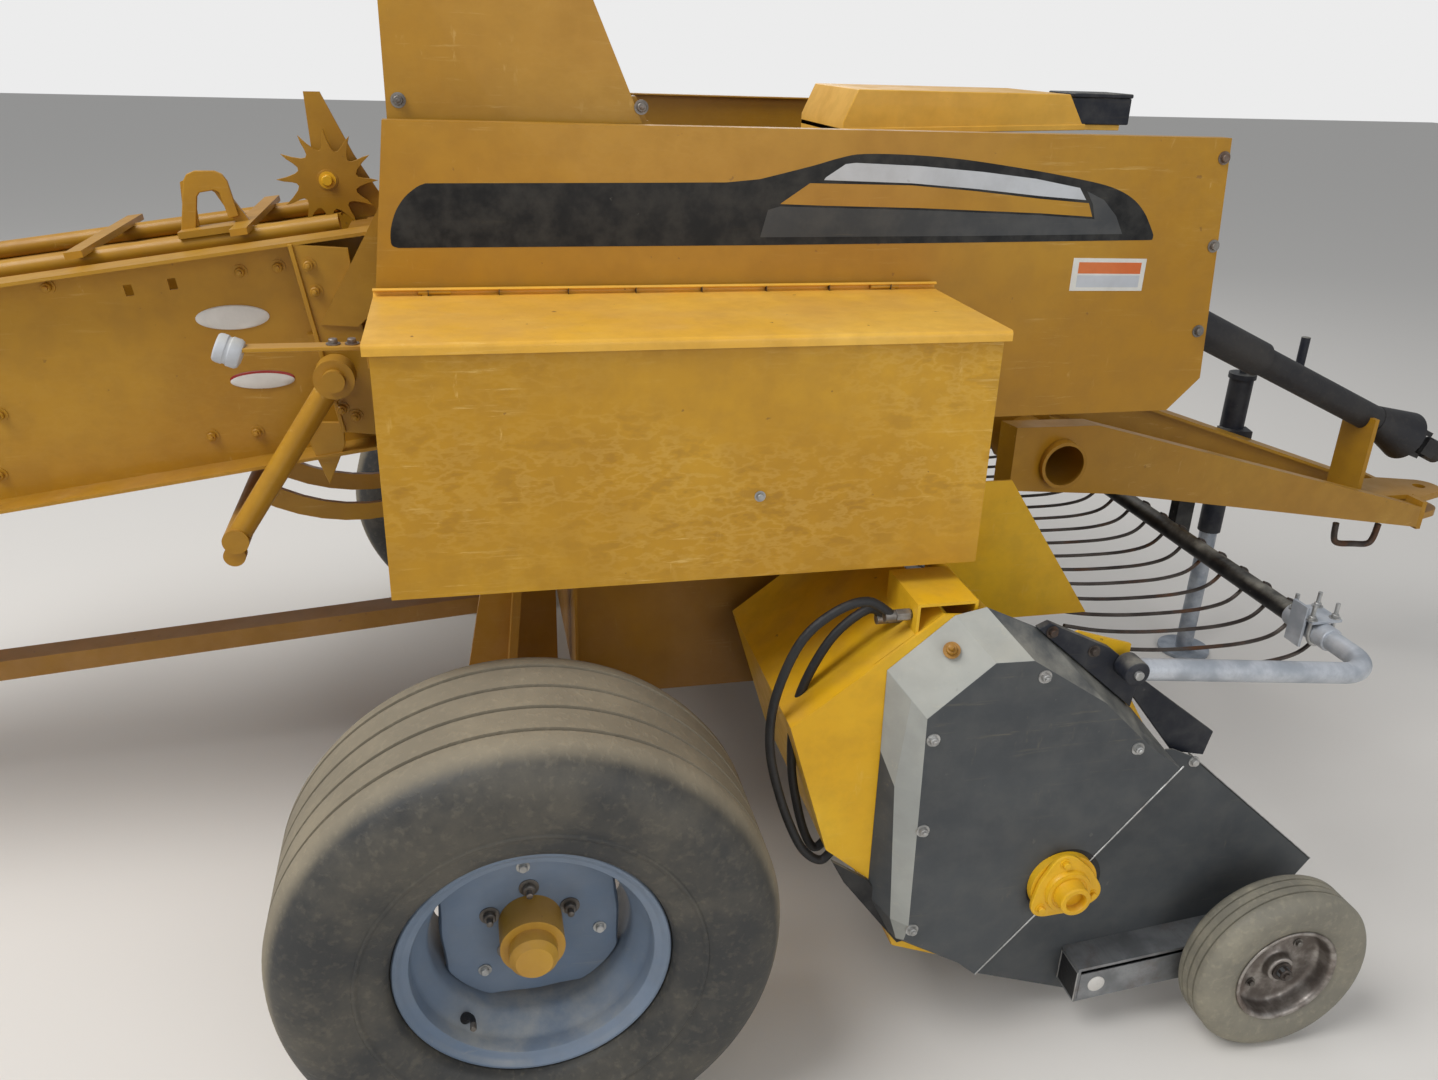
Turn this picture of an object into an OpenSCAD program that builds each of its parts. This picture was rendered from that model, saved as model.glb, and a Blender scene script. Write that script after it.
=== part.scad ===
// Small square baler, in line behind its tongue, standing on its wheels and jack.
// +X points forward to the hitch, +Y to the machine's left, and the ground is at z = 0.
// Every x below is counted from the axle, and from_axle() moves it to the middle of the machine.

/* [Overall] */
// Distance of the axle behind the middle of the machine
axle_back = 50; // [0:10:150]
// Distance of the tongue's tip in front of the axle
tip_ahead = 2550; // [2350:10:2750]
// Distance of the chute's end behind the axle
tail_behind = 2450; // [2250:10:2650]

/* [Main wheels] */
// Outside diameter of a main tyre
tyre_d = 780; // [740:10:800]
// Width of a main tyre
tyre_w = 343; // [320:1:360]
// Distance between the middles of the two tyres
track = 1957; // [1900:1:1990]
// Diameter of the rim's bead seat
rim_d = 381; // [360:1:400]
// Width between the rim's flanges
rim_w = 254; // [220:1:260]
// How far the rim's flange stands above its bead seat
rim_lip = 18; // [12:1:24]
// Thickness of the rim's sheet
rim_t = 7; // [5:1:10]
// Depth of the wheel's disc behind the outer flange
disc_depth = 92; // [70:1:110]
// Radius of the axle's spindle
spindle_r = 30; // [24:1:36]
// Side of the square axle tube
axle_side = 100; // [80:5:120]
// Wall of the square axle tube
axle_wall = 8; // [6:1:12]

/* [Bale chamber] */
// Inside width of the chamber
chamber_w = 457; // [440:1:470]
// Inside height of the chamber
chamber_h = 356; // [340:1:370]
// Slope of the chamber down to its rear end
chamber_slope = 8; // [6:0.5:10]
// Height of the chamber's middle above the ground, over the axle
chamber_z = 1175; // [1160:5:1200]
// Length of the chamber in front of the axle
chamber_front = 1060; // [1020:10:1100]
// Length of the chamber behind the axle
chamber_rear = 1680; // [1600:10:1760]
// Thickness of the chamber's plates
plate_t = 6; // [4:1:10]
// Height of a chamber side plate
side_h = 400; // [390:1:420]
// Width of the flanges along a side plate
flange_w = 68; // [60:1:80]

/* [Needles] */
// Distance of the needle pivot behind the axle
needle_back = 280; // [260:5:300]
// Height of the needle pivot
needle_z = 1100; // [1090:5:1120]
// Radius of the needles' arc about the pivot
needle_r = 366; // [350:2:380]
// Depth of a needle at its root
needle_depth = 44; // [36:2:50]
// Thickness of a needle
needle_t = 12; // [8:1:16]
// Distance of each needle from the middle
needle_y = 90; // [70:5:110]
// Distance of each yoke arm from the middle
yoke_y = 350; // [340:5:360]
// Radius of the yoke's tubes
yoke_r = 24; // [18:1:28]
// Distance of the axle's stands from the middle
stand_y = 390; // [388:1:400]

/* [Body panels] */
// Distance of the side panels from the middle
panel_y = 580; // [560:5:600]
// Thickness of the sheet
sheet = 3; // [2:0.5:5]
// Width of the panels' folded edges
fold = 28; // [20:2:40]
// Half width of the front hood
hood_y = 150; // [140:2:160]
// Height of the hood's top
hood_z = 1597; // [1590:1:1620]
// Half width of the knotter cover
cover_y = 520; // [500:5:540]
// Height of the knotter cover's top
cover_z = 1860; // [1800:10:1900]

/* [Twine boxes] */
// Length of a twine box
box_l = 920; // [860:10:960]
// Distance of a box's front end ahead of the axle
box_ahead = 745; // [720:5:770]
// Depth of a twine box, from its face to the side panel
box_w = 313; // [280:1:330]
// Height of the box's bottom
box_z = 910; // [900:5:930]
// Height of the box's top
box_top = 1290; // [1270:5:1310]
// How far the lid stands out past the box
lid_over = 9; // [6:1:14]

/* [Pickup] */
// Distance of the pickup's pivot and auger ahead of the axle
pivot_x = 660; // [640:5:680]
// Height of the pickup's pivot
pivot_z = 700; // [690:5:710]
// Distance of the reel's axis ahead of the axle
reel_x = 910; // [900:5:920]
// Height of the reel's axis
reel_z = 354; // [345:1:365]
// Radius of the circle that the tine tips run on
tine_r = 288; // [270:2:292]
// Radius of a tine's wire
wire_r = 3; // [2.5:0.5:4]
// Radius of the stripper bands
band_r = 200; // [190:2:210]
// Number of stripper bands
bands = 28; // [24:2:30]
// Gap between two bands, which the tines run through
band_gap = 20; // [18:1:24]
// Thickness of a band
band_t = 3; // [2:0.5:4]
// Half width of the pickup, to the outside of its end plates
pickup_y = 975; // [965:1:980]
// Thickness of the end plates
end_t = 6; // [5:1:8]
// Depth of the end shields
shield_d = 65; // [55:5:70]
// Width of the sloping edge round the shields
bevel = 58; // [40:2:70]
// Radius of the auger's flighting
auger_r = 98; // [80:2:100]
// Radius of the auger's shaft
auger_shaft_r = 20; // [16:1:26]
// Half width of the feeder housing
feeder_y = 500; // [480:5:510]

/* [Gauge wheels] */
// Outside diameter of a gauge wheel
gauge_d = 340; // [330:5:380]
// Width of a gauge wheel
gauge_w = 92; // [84:2:110]
// Distance of the gauge wheels' axle ahead of the main axle
gauge_x = 1325; // [1300:5:1340]
// Distance of a gauge wheel's outer face from the middle
gauge_out = 1160; // [1150:1:1170]
// Radius of a gauge wheel's rim
gauge_rim_r = 92; // [84:2:100]
// Height of a gauge wheel's channel-shaped arm
gauge_arm_h = 76; // [60:2:80]
// Radius of a gauge wheel's axle pin
gauge_pin_r = 12; // [10:1:16]

/* [Windguard] */
// Distance of the windguard's pivot ahead of the axle
guard_x = 990; // [980:5:1000]
// Height of the windguard's pivot
guard_z = 752; // [745:1:760]
// Reach of the windguard in front of its pivot
guard_reach = 480; // [460:5:500]
// Fall of the windguard's arms to their front end
guard_drop = 52; // [40:2:60]
// Radius of the windguard's tubes
guard_r = 19; // [15:1:22]
// Distance of the windguard's arms from the middle
guard_y = 1010; // [1005:1:1020]
// Number of rods on the windguard
guard_rods = 24; // [16:2:30]

/* [Tongue] */
// Distance of the tongue's cross tube ahead of the axle
root_x = 1142; // [1130:2:1150]
// Height of the tongue's cross tube
root_z = 897; // [890:1:905]
// Outside radius of the cross tube
root_r = 50; // [44:1:56]
// Distance of the tongue's rails from the middle at the cross tube
rail_y = 400; // [380:5:420]
// Width of a tongue rail
rail_w = 50; // [40:2:60]
// Radius of the hole for the hitch pin
hitch_r = 16.5; // [13:0.5:18]
// Distance of the hitch pin behind the tongue's tip
hitch_in = 55; // [45:1:70]
// Distance of the jack ahead of the axle
jack_x = 2050; // [1950:10:2150]
// Radius of the jack's outer tube
jack_r = 32; // [28:1:38]
// How far the jack's leg slides up
jack_lift = 300; // [200:10:320]

/* [Drive] */
// Distance of the flywheel's front face ahead of the axle
fly_front = 1145; // [1135:1:1155]
// Height of the flywheel's axis
fly_z = 1290; // [1280:1:1300]
// Radius of the flywheel
fly_r = 220; // [200:2:225]
// Thickness of the flywheel's rim
fly_t = 60; // [50:2:66]
// Slope of the driveline down to its front end
drive_slope = 24.1; // [22:0.1:26]
// Length of the driveline between its two crosses
drive_l = 1330; // [1280:10:1370]
// Radius of the driveline's splined hole
spline_r = 17.5; // [14:0.5:20]

/* [Hidden] */
$fn = 48;
RIGHT = -1;
LEFT = 1;
paint = "#c8922a";
shade = "#4a4c4e";
steel = "#9aa3ab";
black = "#1c1e22";
// Gap where two pieces seat on each other
seat = 0.3;
// Gap of a shaft in its bearing
run = 0.08;
// Gap between pieces that move past each other
clear = 6;
// Overlap of a cut past the face that it opens
eps = 1;

// Places that more than one piece shares
axle_x = -axle_back;
axle_z = tyre_d / 2;
gauge_z = gauge_d / 2;
wheel_y = track / 2;
flange_r = rim_d / 2 + rim_lip;
side_in = chamber_w / 2;
side_out = side_in + plate_t;
flange_out = side_in + flange_w + plate_t;
box_y = panel_y + seat;
box_rear = box_ahead - box_l;
box_out = box_y + box_w;
shield_in = pickup_y + seat;
shield_out = shield_in + shield_d;
skirt_y = shield_in + 22;
arm_y = skirt_y + sheet + seat;
gauge_y = gauge_out - gauge_w / 2;
band_pitch = 2 * (pickup_y - end_t - 4) / bands;
cross_x = fly_front + 90;
cross_z = fly_z - 8;
rail_rear = root_x - 120;
rail_front = tip_ahead - 150;
rail_turn = atan2(rail_y - 95 + 120 * (rail_y - 95) / (rail_front - root_x), rail_front - rail_rear);
rail_low = 545;
rail_high = 602;
star_at = [-258, 265];
cover_low = 1550;
hinge_x = 262;
knot_top = 1520;

// Height of the chamber's middle line at a distance x ahead of the axle
function chamber_mid(x) = chamber_z + x * tan(chamber_slope);
// Height of the top of the side plates' flange
function deck(x) = chamber_mid(x) + side_h / 2 / cos(chamber_slope);
// Height of the top of the chamber's roof
function roof_at(x) = chamber_mid(x) + (chamber_h / 2 + plate_t) / cos(chamber_slope);
// Height of the underside of the side plates' flange
function belly(x) = chamber_mid(x) - side_h / 2 / cos(chamber_slope);
// Height of the underside of the chamber's floor
function under_floor(x) = chamber_mid(x) - (chamber_h / 2 + plate_t) / cos(chamber_slope);
// Distance of a tongue rail's middle from the machine's middle
function rail_at(x) = rail_y - (x - root_x) * (rail_y - 95) / (tip_ahead - 150 - root_x);
// Place in the machine of a point of the chamber's own frame
function from_chamber(x, z) = [
    x * cos(chamber_slope) - z * sin(chamber_slope),
    chamber_z + x * sin(chamber_slope) + z * cos(chamber_slope)
];
// Points of an arc about c with radius r, from angle a to angle b
function arc(c, r, a, b, n) = [for (i = [0 : n]) c + r * [cos(a + (b - a) * i / n), sin(a + (b - a) * i / n)]];

module from_axle() translate([axle_x, 0, 0]) children();
module on_side(side) mirror([0, side == RIGHT ? 1 : 0, 0]) children();

// A plate whose outline is given in x and z, from y = low to y = high
module plate(outline, low, high) {
    translate([0, high, 0])
        rotate([90, 0, 0])
            linear_extrude(high - low)
                polygon(outline);
}

// A round bar along Y through the point x, z
module bar_y(x, z, r, low, high) {
    translate([x, low, z])
        rotate([-90, 0, 0])
            cylinder(h = high - low, r = r);
}

// A round bar along X through the point y, z
module bar_x(y, z, r, low, high) {
    translate([low, y, z])
        rotate([0, 90, 0])
            cylinder(h = high - low, r = r);
}

// A round bar from one point to another in the plane of x and z
module bar_xz(p, q, r) {
    d = q - p;
    translate([p[0], p[1], p[2]])
        rotate([0, atan2(d[0], d[2]), 0])
            cylinder(h = norm(d), r = r);
}

module box(low, high) translate(low) cube(high - low);

// Local frame of the sloping chamber: x runs along it and z is square to it
module along_chamber() translate([0, 0, chamber_z]) rotate([0, -chamber_slope, 0]) children();

// Local frame of a tongue rail: x runs along its outer face from its rear end
module along_rail(side) {
    on_side(side)
        translate([rail_rear, rail_at(rail_rear) + rail_w / 2, 0])
            rotate([0, 0, -rail_turn])
                children();
}

// A hose through the points of a route
module hose(route, r) {
    for (i = [0 : len(route) - 2])
        bar_xz(route[i], route[i + 1], r);
    for (i = [1 : len(route) - 2])
        translate(route[i]) sphere(r = r + 1, $fn = 24);
}

// Local frame of a wheel: z points away from the machine
module at_wheel(x, y, z, side) translate([x, side * y, z]) rotate([-90 * side, 0, 0]) children();

// Axle and wheels

module axle_beam() color(paint) from_axle() {
    tube_end = wheel_y - rim_w / 2 - 60;
    difference() {
        box([-axle_side / 2, -tube_end, axle_z - axle_side / 2], [axle_side / 2, tube_end, axle_z + axle_side / 2]);
        box([-axle_side / 2 + axle_wall, -tube_end - eps, axle_z - axle_side / 2 + axle_wall],
            [axle_side / 2 - axle_wall, tube_end + eps, axle_z + axle_side / 2 - axle_wall]);
    }
    for (side = [RIGHT, LEFT]) {
        on_side(side) {
            box([-axle_side / 2, tube_end, axle_z - axle_side / 2], [axle_side / 2, tube_end + 12, axle_z + axle_side / 2]);
            bar_y(0, axle_z, spindle_r + 14, tube_end + 12, tube_end + 40);
            bar_y(0, axle_z, spindle_r, tube_end + 40, wheel_y + rim_w / 2 - disc_depth + 66);
        }
    }
}

module axle_stands() color(paint) from_axle() {
    top = axle_z + axle_side / 2 + seat;
    for (side = [RIGHT, LEFT]) {
        on_side(side) {
            plate([[-90, top], [100, top], [100, belly(100) - seat], [10, belly(10) - seat]], stand_y, stand_y + 12);
            box([-110, stand_y - 60, top], [110, stand_y + 60, top + 12]);
            plate([[-8, top], [8, top], [52, 900], [36, 900]], stand_y - 40, stand_y + 50);
            box([10, side_out, belly(10) - 60], [100, stand_y + 1, belly(10) - seat]);
        }
    }
}

module tyre(side) color(black) from_axle() {
    facets = 52;
    half = rim_w / 2 - seat;
    bead = (rim_d / 2 + seat) / cos(180 / facets);
    rings = [
        [tyre_d / 2, tyre_w / 2 - 50], [tyre_d / 2 - 15, tyre_w / 2 - 18], [tyre_d / 2 - 56, tyre_w / 2]
    ];
    inner = [
        [bead - 2 * eps, half - 26], [flange_r + 60, tyre_w / 2 - 20], [tyre_d / 2 - 60, tyre_w / 2 - 20],
        [tyre_d / 2 - 22, tyre_w / 2 - 60]
    ];
    at_wheel(0, wheel_y, axle_z, side)
        difference() {
            hull()
                for (ring = rings)
                    cylinder(h = 2 * ring[1], r = ring[0], center = true, $fn = facets);
            rotate_extrude($fn = facets)
                polygon(concat(inner, [for (i = [len(inner) - 1 : -1 : 0]) [inner[i][0], -inner[i][1]]]));
            cylinder(h = tyre_w, r = bead, center = true, $fn = facets);
            for (turn = [0, 180])
                rotate([turn, 0, 0])
                    translate([0, 0, half])
                        cylinder(h = tyre_w / 2 - half + eps, r1 = flange_r + 2, r2 = flange_r + 66, $fn = facets);
        }
}

module rim(side) color(steel) from_axle() {
    half = rim_w / 2;
    seat_r = rim_d / 2;
    well_r = seat_r - 26;
    disc_a = half - disc_depth;
    at_wheel(0, wheel_y, axle_z, side) {
        difference() {
            rotate_extrude($fn = 72)
                polygon([
                    [flange_r, half + rim_t], [flange_r, half + seat], [seat_r, half], [seat_r, half - 34],
                    [well_r, half - 60], [well_r, -half + 60], [seat_r, -half + 34], [seat_r, -half],
                    [flange_r, -half - seat], [flange_r, -half - rim_t], [seat_r - rim_t, -half - rim_t],
                    [seat_r - rim_t, -half + 38], [well_r - rim_t, -half + 64], [well_r - rim_t, disc_a - 26],
                    [well_r - 30, disc_a - 8], [62, disc_a - 8], [62, disc_a], [well_r - 26, disc_a],
                    [well_r - rim_t, disc_a - 12], [well_r - rim_t, half - 64], [seat_r - rim_t, half - 38],
                    [seat_r - rim_t, half + rim_t]
                ]);
            for (i = [0 : 2])
                rotate([0, 0, 120 * i + 30])
                    translate([112, 0, disc_a - 40])
                        cylinder(h = 60, r = 17);
        }
    }
}

module hub(side) color("#d8a52a") from_axle() {
    disc_a = rim_w / 2 - disc_depth;
    at_wheel(0, wheel_y, axle_z, side) {
        difference() {
            union() {
                translate([0, 0, disc_a - 50]) cylinder(h = 50 - 8 - seat, r = 48);
                translate([0, 0, disc_a - 8 - seat - 16]) cylinder(h = 16, r = 78);
                translate([0, 0, disc_a - 8 - seat]) cylinder(h = 70, r = 50);
                translate([0, 0, disc_a + 61]) cylinder(h = 24, r = 37);
                translate([0, 0, disc_a + 85]) cylinder(h = 10, r1 = 37, r2 = 28);
            }
            translate([0, 0, disc_a - 51]) cylinder(h = 51 + 66 + 4, r = spindle_r + run);
        }
    }
}

// Bale chamber

module chamber_side(side) color(paint) from_axle() on_side(side) along_chamber() {
    low = -side_h / 2;
    high = side_h / 2;
    difference() {
        union() {
            box([-chamber_rear, side_in, low], [chamber_front, side_out, high]);
            for (z = [low, high - plate_t])
                box([-chamber_rear, side_out, z], [chamber_front, flange_out, z + plate_t]);
            for (x = [-chamber_rear, -1180, 330, chamber_front - plate_t])
                box([x, side_out, low + plate_t], [x + plate_t, flange_out - 4, high - plate_t]);
        }
        for (x = [-620, -545])
            box([x, side_in - eps, high - 62], [x + 14, side_out + eps, high - 42]);
    }
    pivot_local = [
        -needle_back * cos(chamber_slope) + (needle_z - chamber_z) * sin(chamber_slope),
        needle_back * sin(chamber_slope) + (needle_z - chamber_z) * cos(chamber_slope)
    ];
    box([pivot_local[0] - 45, side_out, pivot_local[1] - 60], [pivot_local[0] + 45, side_out + 14, pivot_local[1] + 60]);
    bar_y(pivot_local[0], pivot_local[1], 20, side_out + 14, yoke_y + yoke_r + 14);
}

module chamber_floor() color(paint) from_axle() along_chamber() {
    z = -chamber_h / 2;
    pin = [-chamber_rear - 16, z - plate_t - 10];
    difference() {
        box([-chamber_rear, -side_in + seat, z - plate_t], [chamber_front, side_in - seat, z]);
        for (y = [-needle_y, needle_y])
            box([-20, y - needle_t / 2 - clear, z - plate_t - eps], [110, y + needle_t / 2 + clear, z + eps]);
        box([240, -side_in + 30, z - plate_t - eps], [720, side_in - 30, z + eps]);
    }
    for (x = [-1620, -900, -480, 860])
        box([x, -side_in + seat, z - plate_t - 14], [x + 40, side_in - seat, z - plate_t]);
    for (y = [-160, 150])
        box([-chamber_rear - 28, y, pin[1] - 10], [-chamber_rear + 60, y + 10, z - plate_t]);
    bar_y(pin[0], pin[1], 8, -side_in + 20, side_in - 20);
}

module chamber_roof() color(paint) from_axle() along_chamber() {
    z = chamber_h / 2;
    difference() {
        box([-230, -side_in + seat, z], [chamber_front, side_in - seat, z + plate_t]);
        for (y = [-needle_y, needle_y])
            box([-60, y - needle_t / 2 - clear, z - eps], [90, y + needle_t / 2 + clear, z + plate_t + eps]);
        box([-240, -14, z - eps], [-200, 14, z + plate_t + eps]);
    }
}

module tension_rails() color(paint) from_axle() along_chamber() {
    z = chamber_h / 2;
    for (y = [-150, 150]) {
        box([-chamber_rear + 20, y - 24, z], [-262, y + 24, z + plate_t]);
        bar_x(y, z + plate_t + 17, 17, -chamber_rear + 20, -238);
    }
    for (x = [-chamber_rear + 380, -700, -420])
        box([x, -side_in + seat, z + plate_t + 30], [x + 30, side_in - seat, z + plate_t + 42]);
    difference() {
        plate([[-515, z + 48], [-500, z + 130], [-460, z + 142], [-432, z + 120], [-400, z + 48]], -126, -118);
        plate([[-490, z + 46], [-482, z + 108], [-462, z + 118], [-446, z + 104], [-424, z + 46]], -127, -117);
    }
    box([-520, -170, z + plate_t + 30], [-395, -110, z + plate_t + 42]);
}

module tension_yoke() color(paint) from_axle() along_chamber() {
    deck_z = chamber_h / 2 + plate_t + 42 + seat;
    top = deck_z + 44;
    low = -side_h / 2 - 30;
    x = -chamber_rear + 385;
    box([x - 25, -flange_out - 30, deck_z], [x + 25, flange_out + 30, top]);
    box([x - 25, -flange_out - 30, low], [x + 25, flange_out + 30, -side_h / 2 - seat]);
    for (y = [-flange_out - 16, flange_out + 16]) {
        translate([x, y, low - 30]) cylinder(h = top - low + 120, r = 8);
        translate([x, y, top]) cylinder(h = 70, r = 22);
        translate([x, y, low - 24]) cylinder(h = 24, r = 18);
    }
}

module plunger() color(steel) from_axle() along_chamber() {
    half = side_in - 8;
    low = -chamber_h / 2 + 8;
    box([260, -half, low], [300, half, chamber_h / 2 - 8]);
    box([300, -half, low], [620, -half + 12, chamber_h / 2 - 8]);
    box([300, half - 12, low], [620, half, chamber_h / 2 - 8]);
    box([300, -30, -30], [845, 30, 30]);
    for (y = [-half, half - 24])
        box([262, y, low - 8 + seat], [620, y + 24, low]);
}

module pull_beam() color(paint) from_axle() {
    z = axle_z + axle_side / 2 + seat;
    rear = 1740;
    fall = 0.08;
    difference() {
        plate([[70, z], [70, z + 50], [-rear, z + 50 - rear * fall], [-rear, z - rear * fall], [-50, z]], -30, 30);
        translate([-rear + 45, 0, z - rear * fall - 60]) cylinder(h = 160, r = hitch_r);
    }
    for (y = [-38, 30])
        plate([[-1560, z - 1560 * fall], [-1460, z - 1460 * fall], [-1400, under_floor(-1400) - seat],
            [-1480, under_floor(-1480) - seat]], y, y + 8);
}

// Crop path under the chamber

module feeder_housing() color(paint) from_axle() {
    bottom = 480;
    rear = 130;
    front = 560;
    wall = 5;
    difference() {
        union() {
            for (side = [RIGHT, LEFT]) {
                on_side(side) {
                    plate([[rear, bottom], [front, bottom], [front + 15, 610], [pivot_x - 50, pivot_z - 60],
                        [pivot_x + 60, pivot_z - 60], [pivot_x + 70, pivot_z + 60], [820, 900], [820, belly(rear) - seat],
                        [rear, belly(rear) - seat]], feeder_y - wall, feeder_y);
                    box([rear - 5, feeder_y, bottom], [rear, feeder_y + 30, 890]);
                    for (x = [rear, 720])
                        box([x, side_out, belly(x) - 40], [x + 40, feeder_y - wall, belly(x) - seat]);
                }
            }
            plate([[rear, bottom], [front, bottom], [front, bottom + wall], [rear + wall, bottom + wall],
                [rear + wall, 900], [rear, 900]], -feeder_y + wall, feeder_y - wall);
        }
        bar_y(pivot_x, pivot_z, auger_shaft_r + run, -feeder_y - eps, feeder_y + eps);
    }
}

// Drive

module gearbox() color(paint) from_axle() {
    x0 = 850;
    x1 = 1040;
    difference() {
        union() {
            box([x0, -side_in + seat, fly_z - 120], [x0 + 160, side_in - seat, fly_z - 96]);
            box([x0, -130, fly_z - 96], [x0 + 160, 130, fly_z + 90]);
            bar_x(0, fly_z, 84, x0 + 160, x1);
            translate([x0 + 80, 0, fly_z + 90]) cylinder(h = 24, r = 70);
        }
        bar_x(0, fly_z, 26 + run, x1 - 60, x1 + eps);
    }
}

module flywheel() color(shade) from_axle() {
    back = fly_front - fly_t;
    difference() {
        union() {
            bar_x(0, fly_z, fly_r, back, fly_front);
            bar_x(0, fly_z, 26, 1040 - 55, back);
            bar_x(0, fly_z, 70, fly_front, fly_front + 24);
            bar_x(0, fly_z, 20, fly_front + 24, cross_x - 30);
        }
        translate([fly_front - 26, 0, fly_z])
            rotate([0, 90, 0])
                difference() {
                    cylinder(h = 40, r = fly_r - 34);
                    translate([0, 0, -eps]) cylinder(h = 42, r = 78);
                }
        for (i = [0 : 3])
            translate([back - eps, (fly_r - 84) * cos(90 * i + 45), fly_z + (fly_r - 84) * sin(90 * i + 45)])
                rotate([0, 90, 0])
                    cylinder(h = fly_t + 2, r = 24);
    }
}

module driveline() color(black) from_axle() translate([cross_x, 0, cross_z]) rotate([0, drive_slope, 0]) {
    difference() {
        union() {
            bar_x(0, 0, 30, 52, 110);
            bar_x(0, 0, 44, 110, drive_l * 0.55);
            bar_x(0, 0, 36, drive_l * 0.55, drive_l - 120);
            translate([56, 0, 0]) rotate([0, 90, 0]) cylinder(h = 120, r1 = 74, r2 = 46);
            translate([drive_l - 176, 0, 0]) rotate([0, 90, 0]) cylinder(h = 120, r1 = 38, r2 = 66);
            bar_x(0, 0, 30, drive_l - 120, drive_l - 48);
            for (y = [-38, 26]) {
                box([-2, y, -26], [60, y + 12, 26]);
                bar_y(0, 0, 26, y, y + 12);
            }
            bar_y(0, 0, 9, -38, 38);
            for (z = [-38, 26])
                box([drive_l - 60, -24, z], [drive_l + 4, 24, z + 12]);
            translate([drive_l, 0, -38]) cylinder(h = 76, r = 9);
            for (y = [-38, 26])
                box([drive_l - 10, y, -22], [drive_l + 34, y + 12, 22]);
            bar_y(drive_l, 0, 9, -38, 38);
            bar_x(0, 0, 29, drive_l + 30, drive_l + 76);
        }
        bar_x(0, 0, spline_r, drive_l + 28, drive_l + 80);
    }
}

// Body panels

module front_hood() color(paint) from_axle() {
    rear = 713;
    front = 1200;
    nose = 1243;
    over = fly_z + fly_r + clear + 12;
    outline = [
        [rear, roof_at(rear) + seat], [rear, hood_z - 62], [rear + 28, hood_z], [front, hood_z],
        [nose, over], [1016, over], [1016, roof_at(1016) + seat]
    ];
    inside = [
        [rear + sheet, roof_at(rear) - 200], [rear + sheet, hood_z - 63], [rear + 30, hood_z - sheet],
        [front - 2, hood_z - sheet], [nose - 5, over - eps], [nose - 5, over - 300]
    ];
    difference() {
        plate(outline, -hood_y, hood_y);
        plate(inside, -hood_y + sheet, hood_y - sheet);
    }
    for (y = [-hood_y, hood_y - 30])
        plate([[rear + 100, roof_at(rear + 100) + seat], [rear + 140, roof_at(rear + 140) + seat],
            [rear + 140, roof_at(rear + 140) + 12], [rear + 100, roof_at(rear + 100) + 12]], y, y + 30);
    box([nose - 24, -50, over - 6], [nose + 137, 50, over + 6]);
    box([nose + 17, -60, over + 6], [nose + 155, 60, hood_z]);
}

module panel_brackets() color(paint) from_axle() {
    for (side = [RIGHT, LEFT]) {
        on_side(side) {
            for (x = [0, 560, 1010])
                box([x, side_out + seat, 1200], [x + 40, panel_y - sheet - seat, 1240]);
            plate([[-150, 1400], [-176, 1400], [-300, 1185], [-235, 1180], [-150, 1260]], flange_out + seat, flange_out + 6);
            box([-165, flange_out + seat, 1350], [-140, panel_y - sheet - seat, 1380]);
        }
    }
}

module side_panel(side) color(paint) from_axle() on_side(side) {
    outline = [
        [-180, 1130], [-180, 1300], [-150, 1553], [1287, 1547], [1320, 1114], [1261, 1052], [760, 1052], [760, 1130]
    ];
    translate([0, panel_y, 0])
        rotate([90, 0, 0])
            difference() {
                linear_extrude(fold) polygon(outline);
                translate([0, 0, sheet])
                    linear_extrude(fold) offset(delta = -sheet) polygon(outline);
            }
}

module twine_box(side) color(paint) from_axle() on_side(side) {
    difference() {
        box([box_rear, box_y, box_z], [box_ahead, box_out, box_top]);
        box([box_rear + sheet, box_y + sheet, box_z + sheet], [box_ahead - sheet, box_out - sheet, box_top + eps]);
    }
    for (x = [box_rear, box_ahead - 22])
        box([x, box_y, box_top - sheet], [x + 22, box_out, box_top]);
    box([box_rear, box_out - 20, box_top - sheet], [box_ahead, box_out, box_top]);
    for (x = [box_rear + 60, box_ahead - 60 - 50])
        bar_x(box_y + 14, box_top + 9, 4, x, x + 50);
    for (x = [box_rear + 66, box_ahead - 66 - 8])
        box([x, box_y + 11, box_top - sheet], [x + 8, box_y + 17, box_top + 9]);
}

module twine_lid(side) color(paint) from_axle() on_side(side) {
    z = box_top + seat;
    hinge = [box_y + 14, box_top + 9];
    difference() {
        union() {
            box([box_rear - lid_over, hinge[0] + 10, z], [box_ahead + lid_over, box_out + lid_over, z + sheet]);
            box([box_rear - lid_over, box_out + lid_over - sheet, z - 14],
                [box_ahead + lid_over, box_out + lid_over, z + sheet]);
            for (x = [box_rear + 76, box_ahead - 106]) {
                bar_x(hinge[0], hinge[1], 7, x, x + 30);
                box([x, hinge[0], hinge[1] - 7], [x + 30, hinge[0] + 16, hinge[1] - 4]);
            }
        }
        for (x = [box_rear + 60, box_ahead - 110])
            bar_x(hinge[0], hinge[1], 4 + run, x - 20, x + 70);
    }
}

// Knotters on top of the chamber

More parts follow.
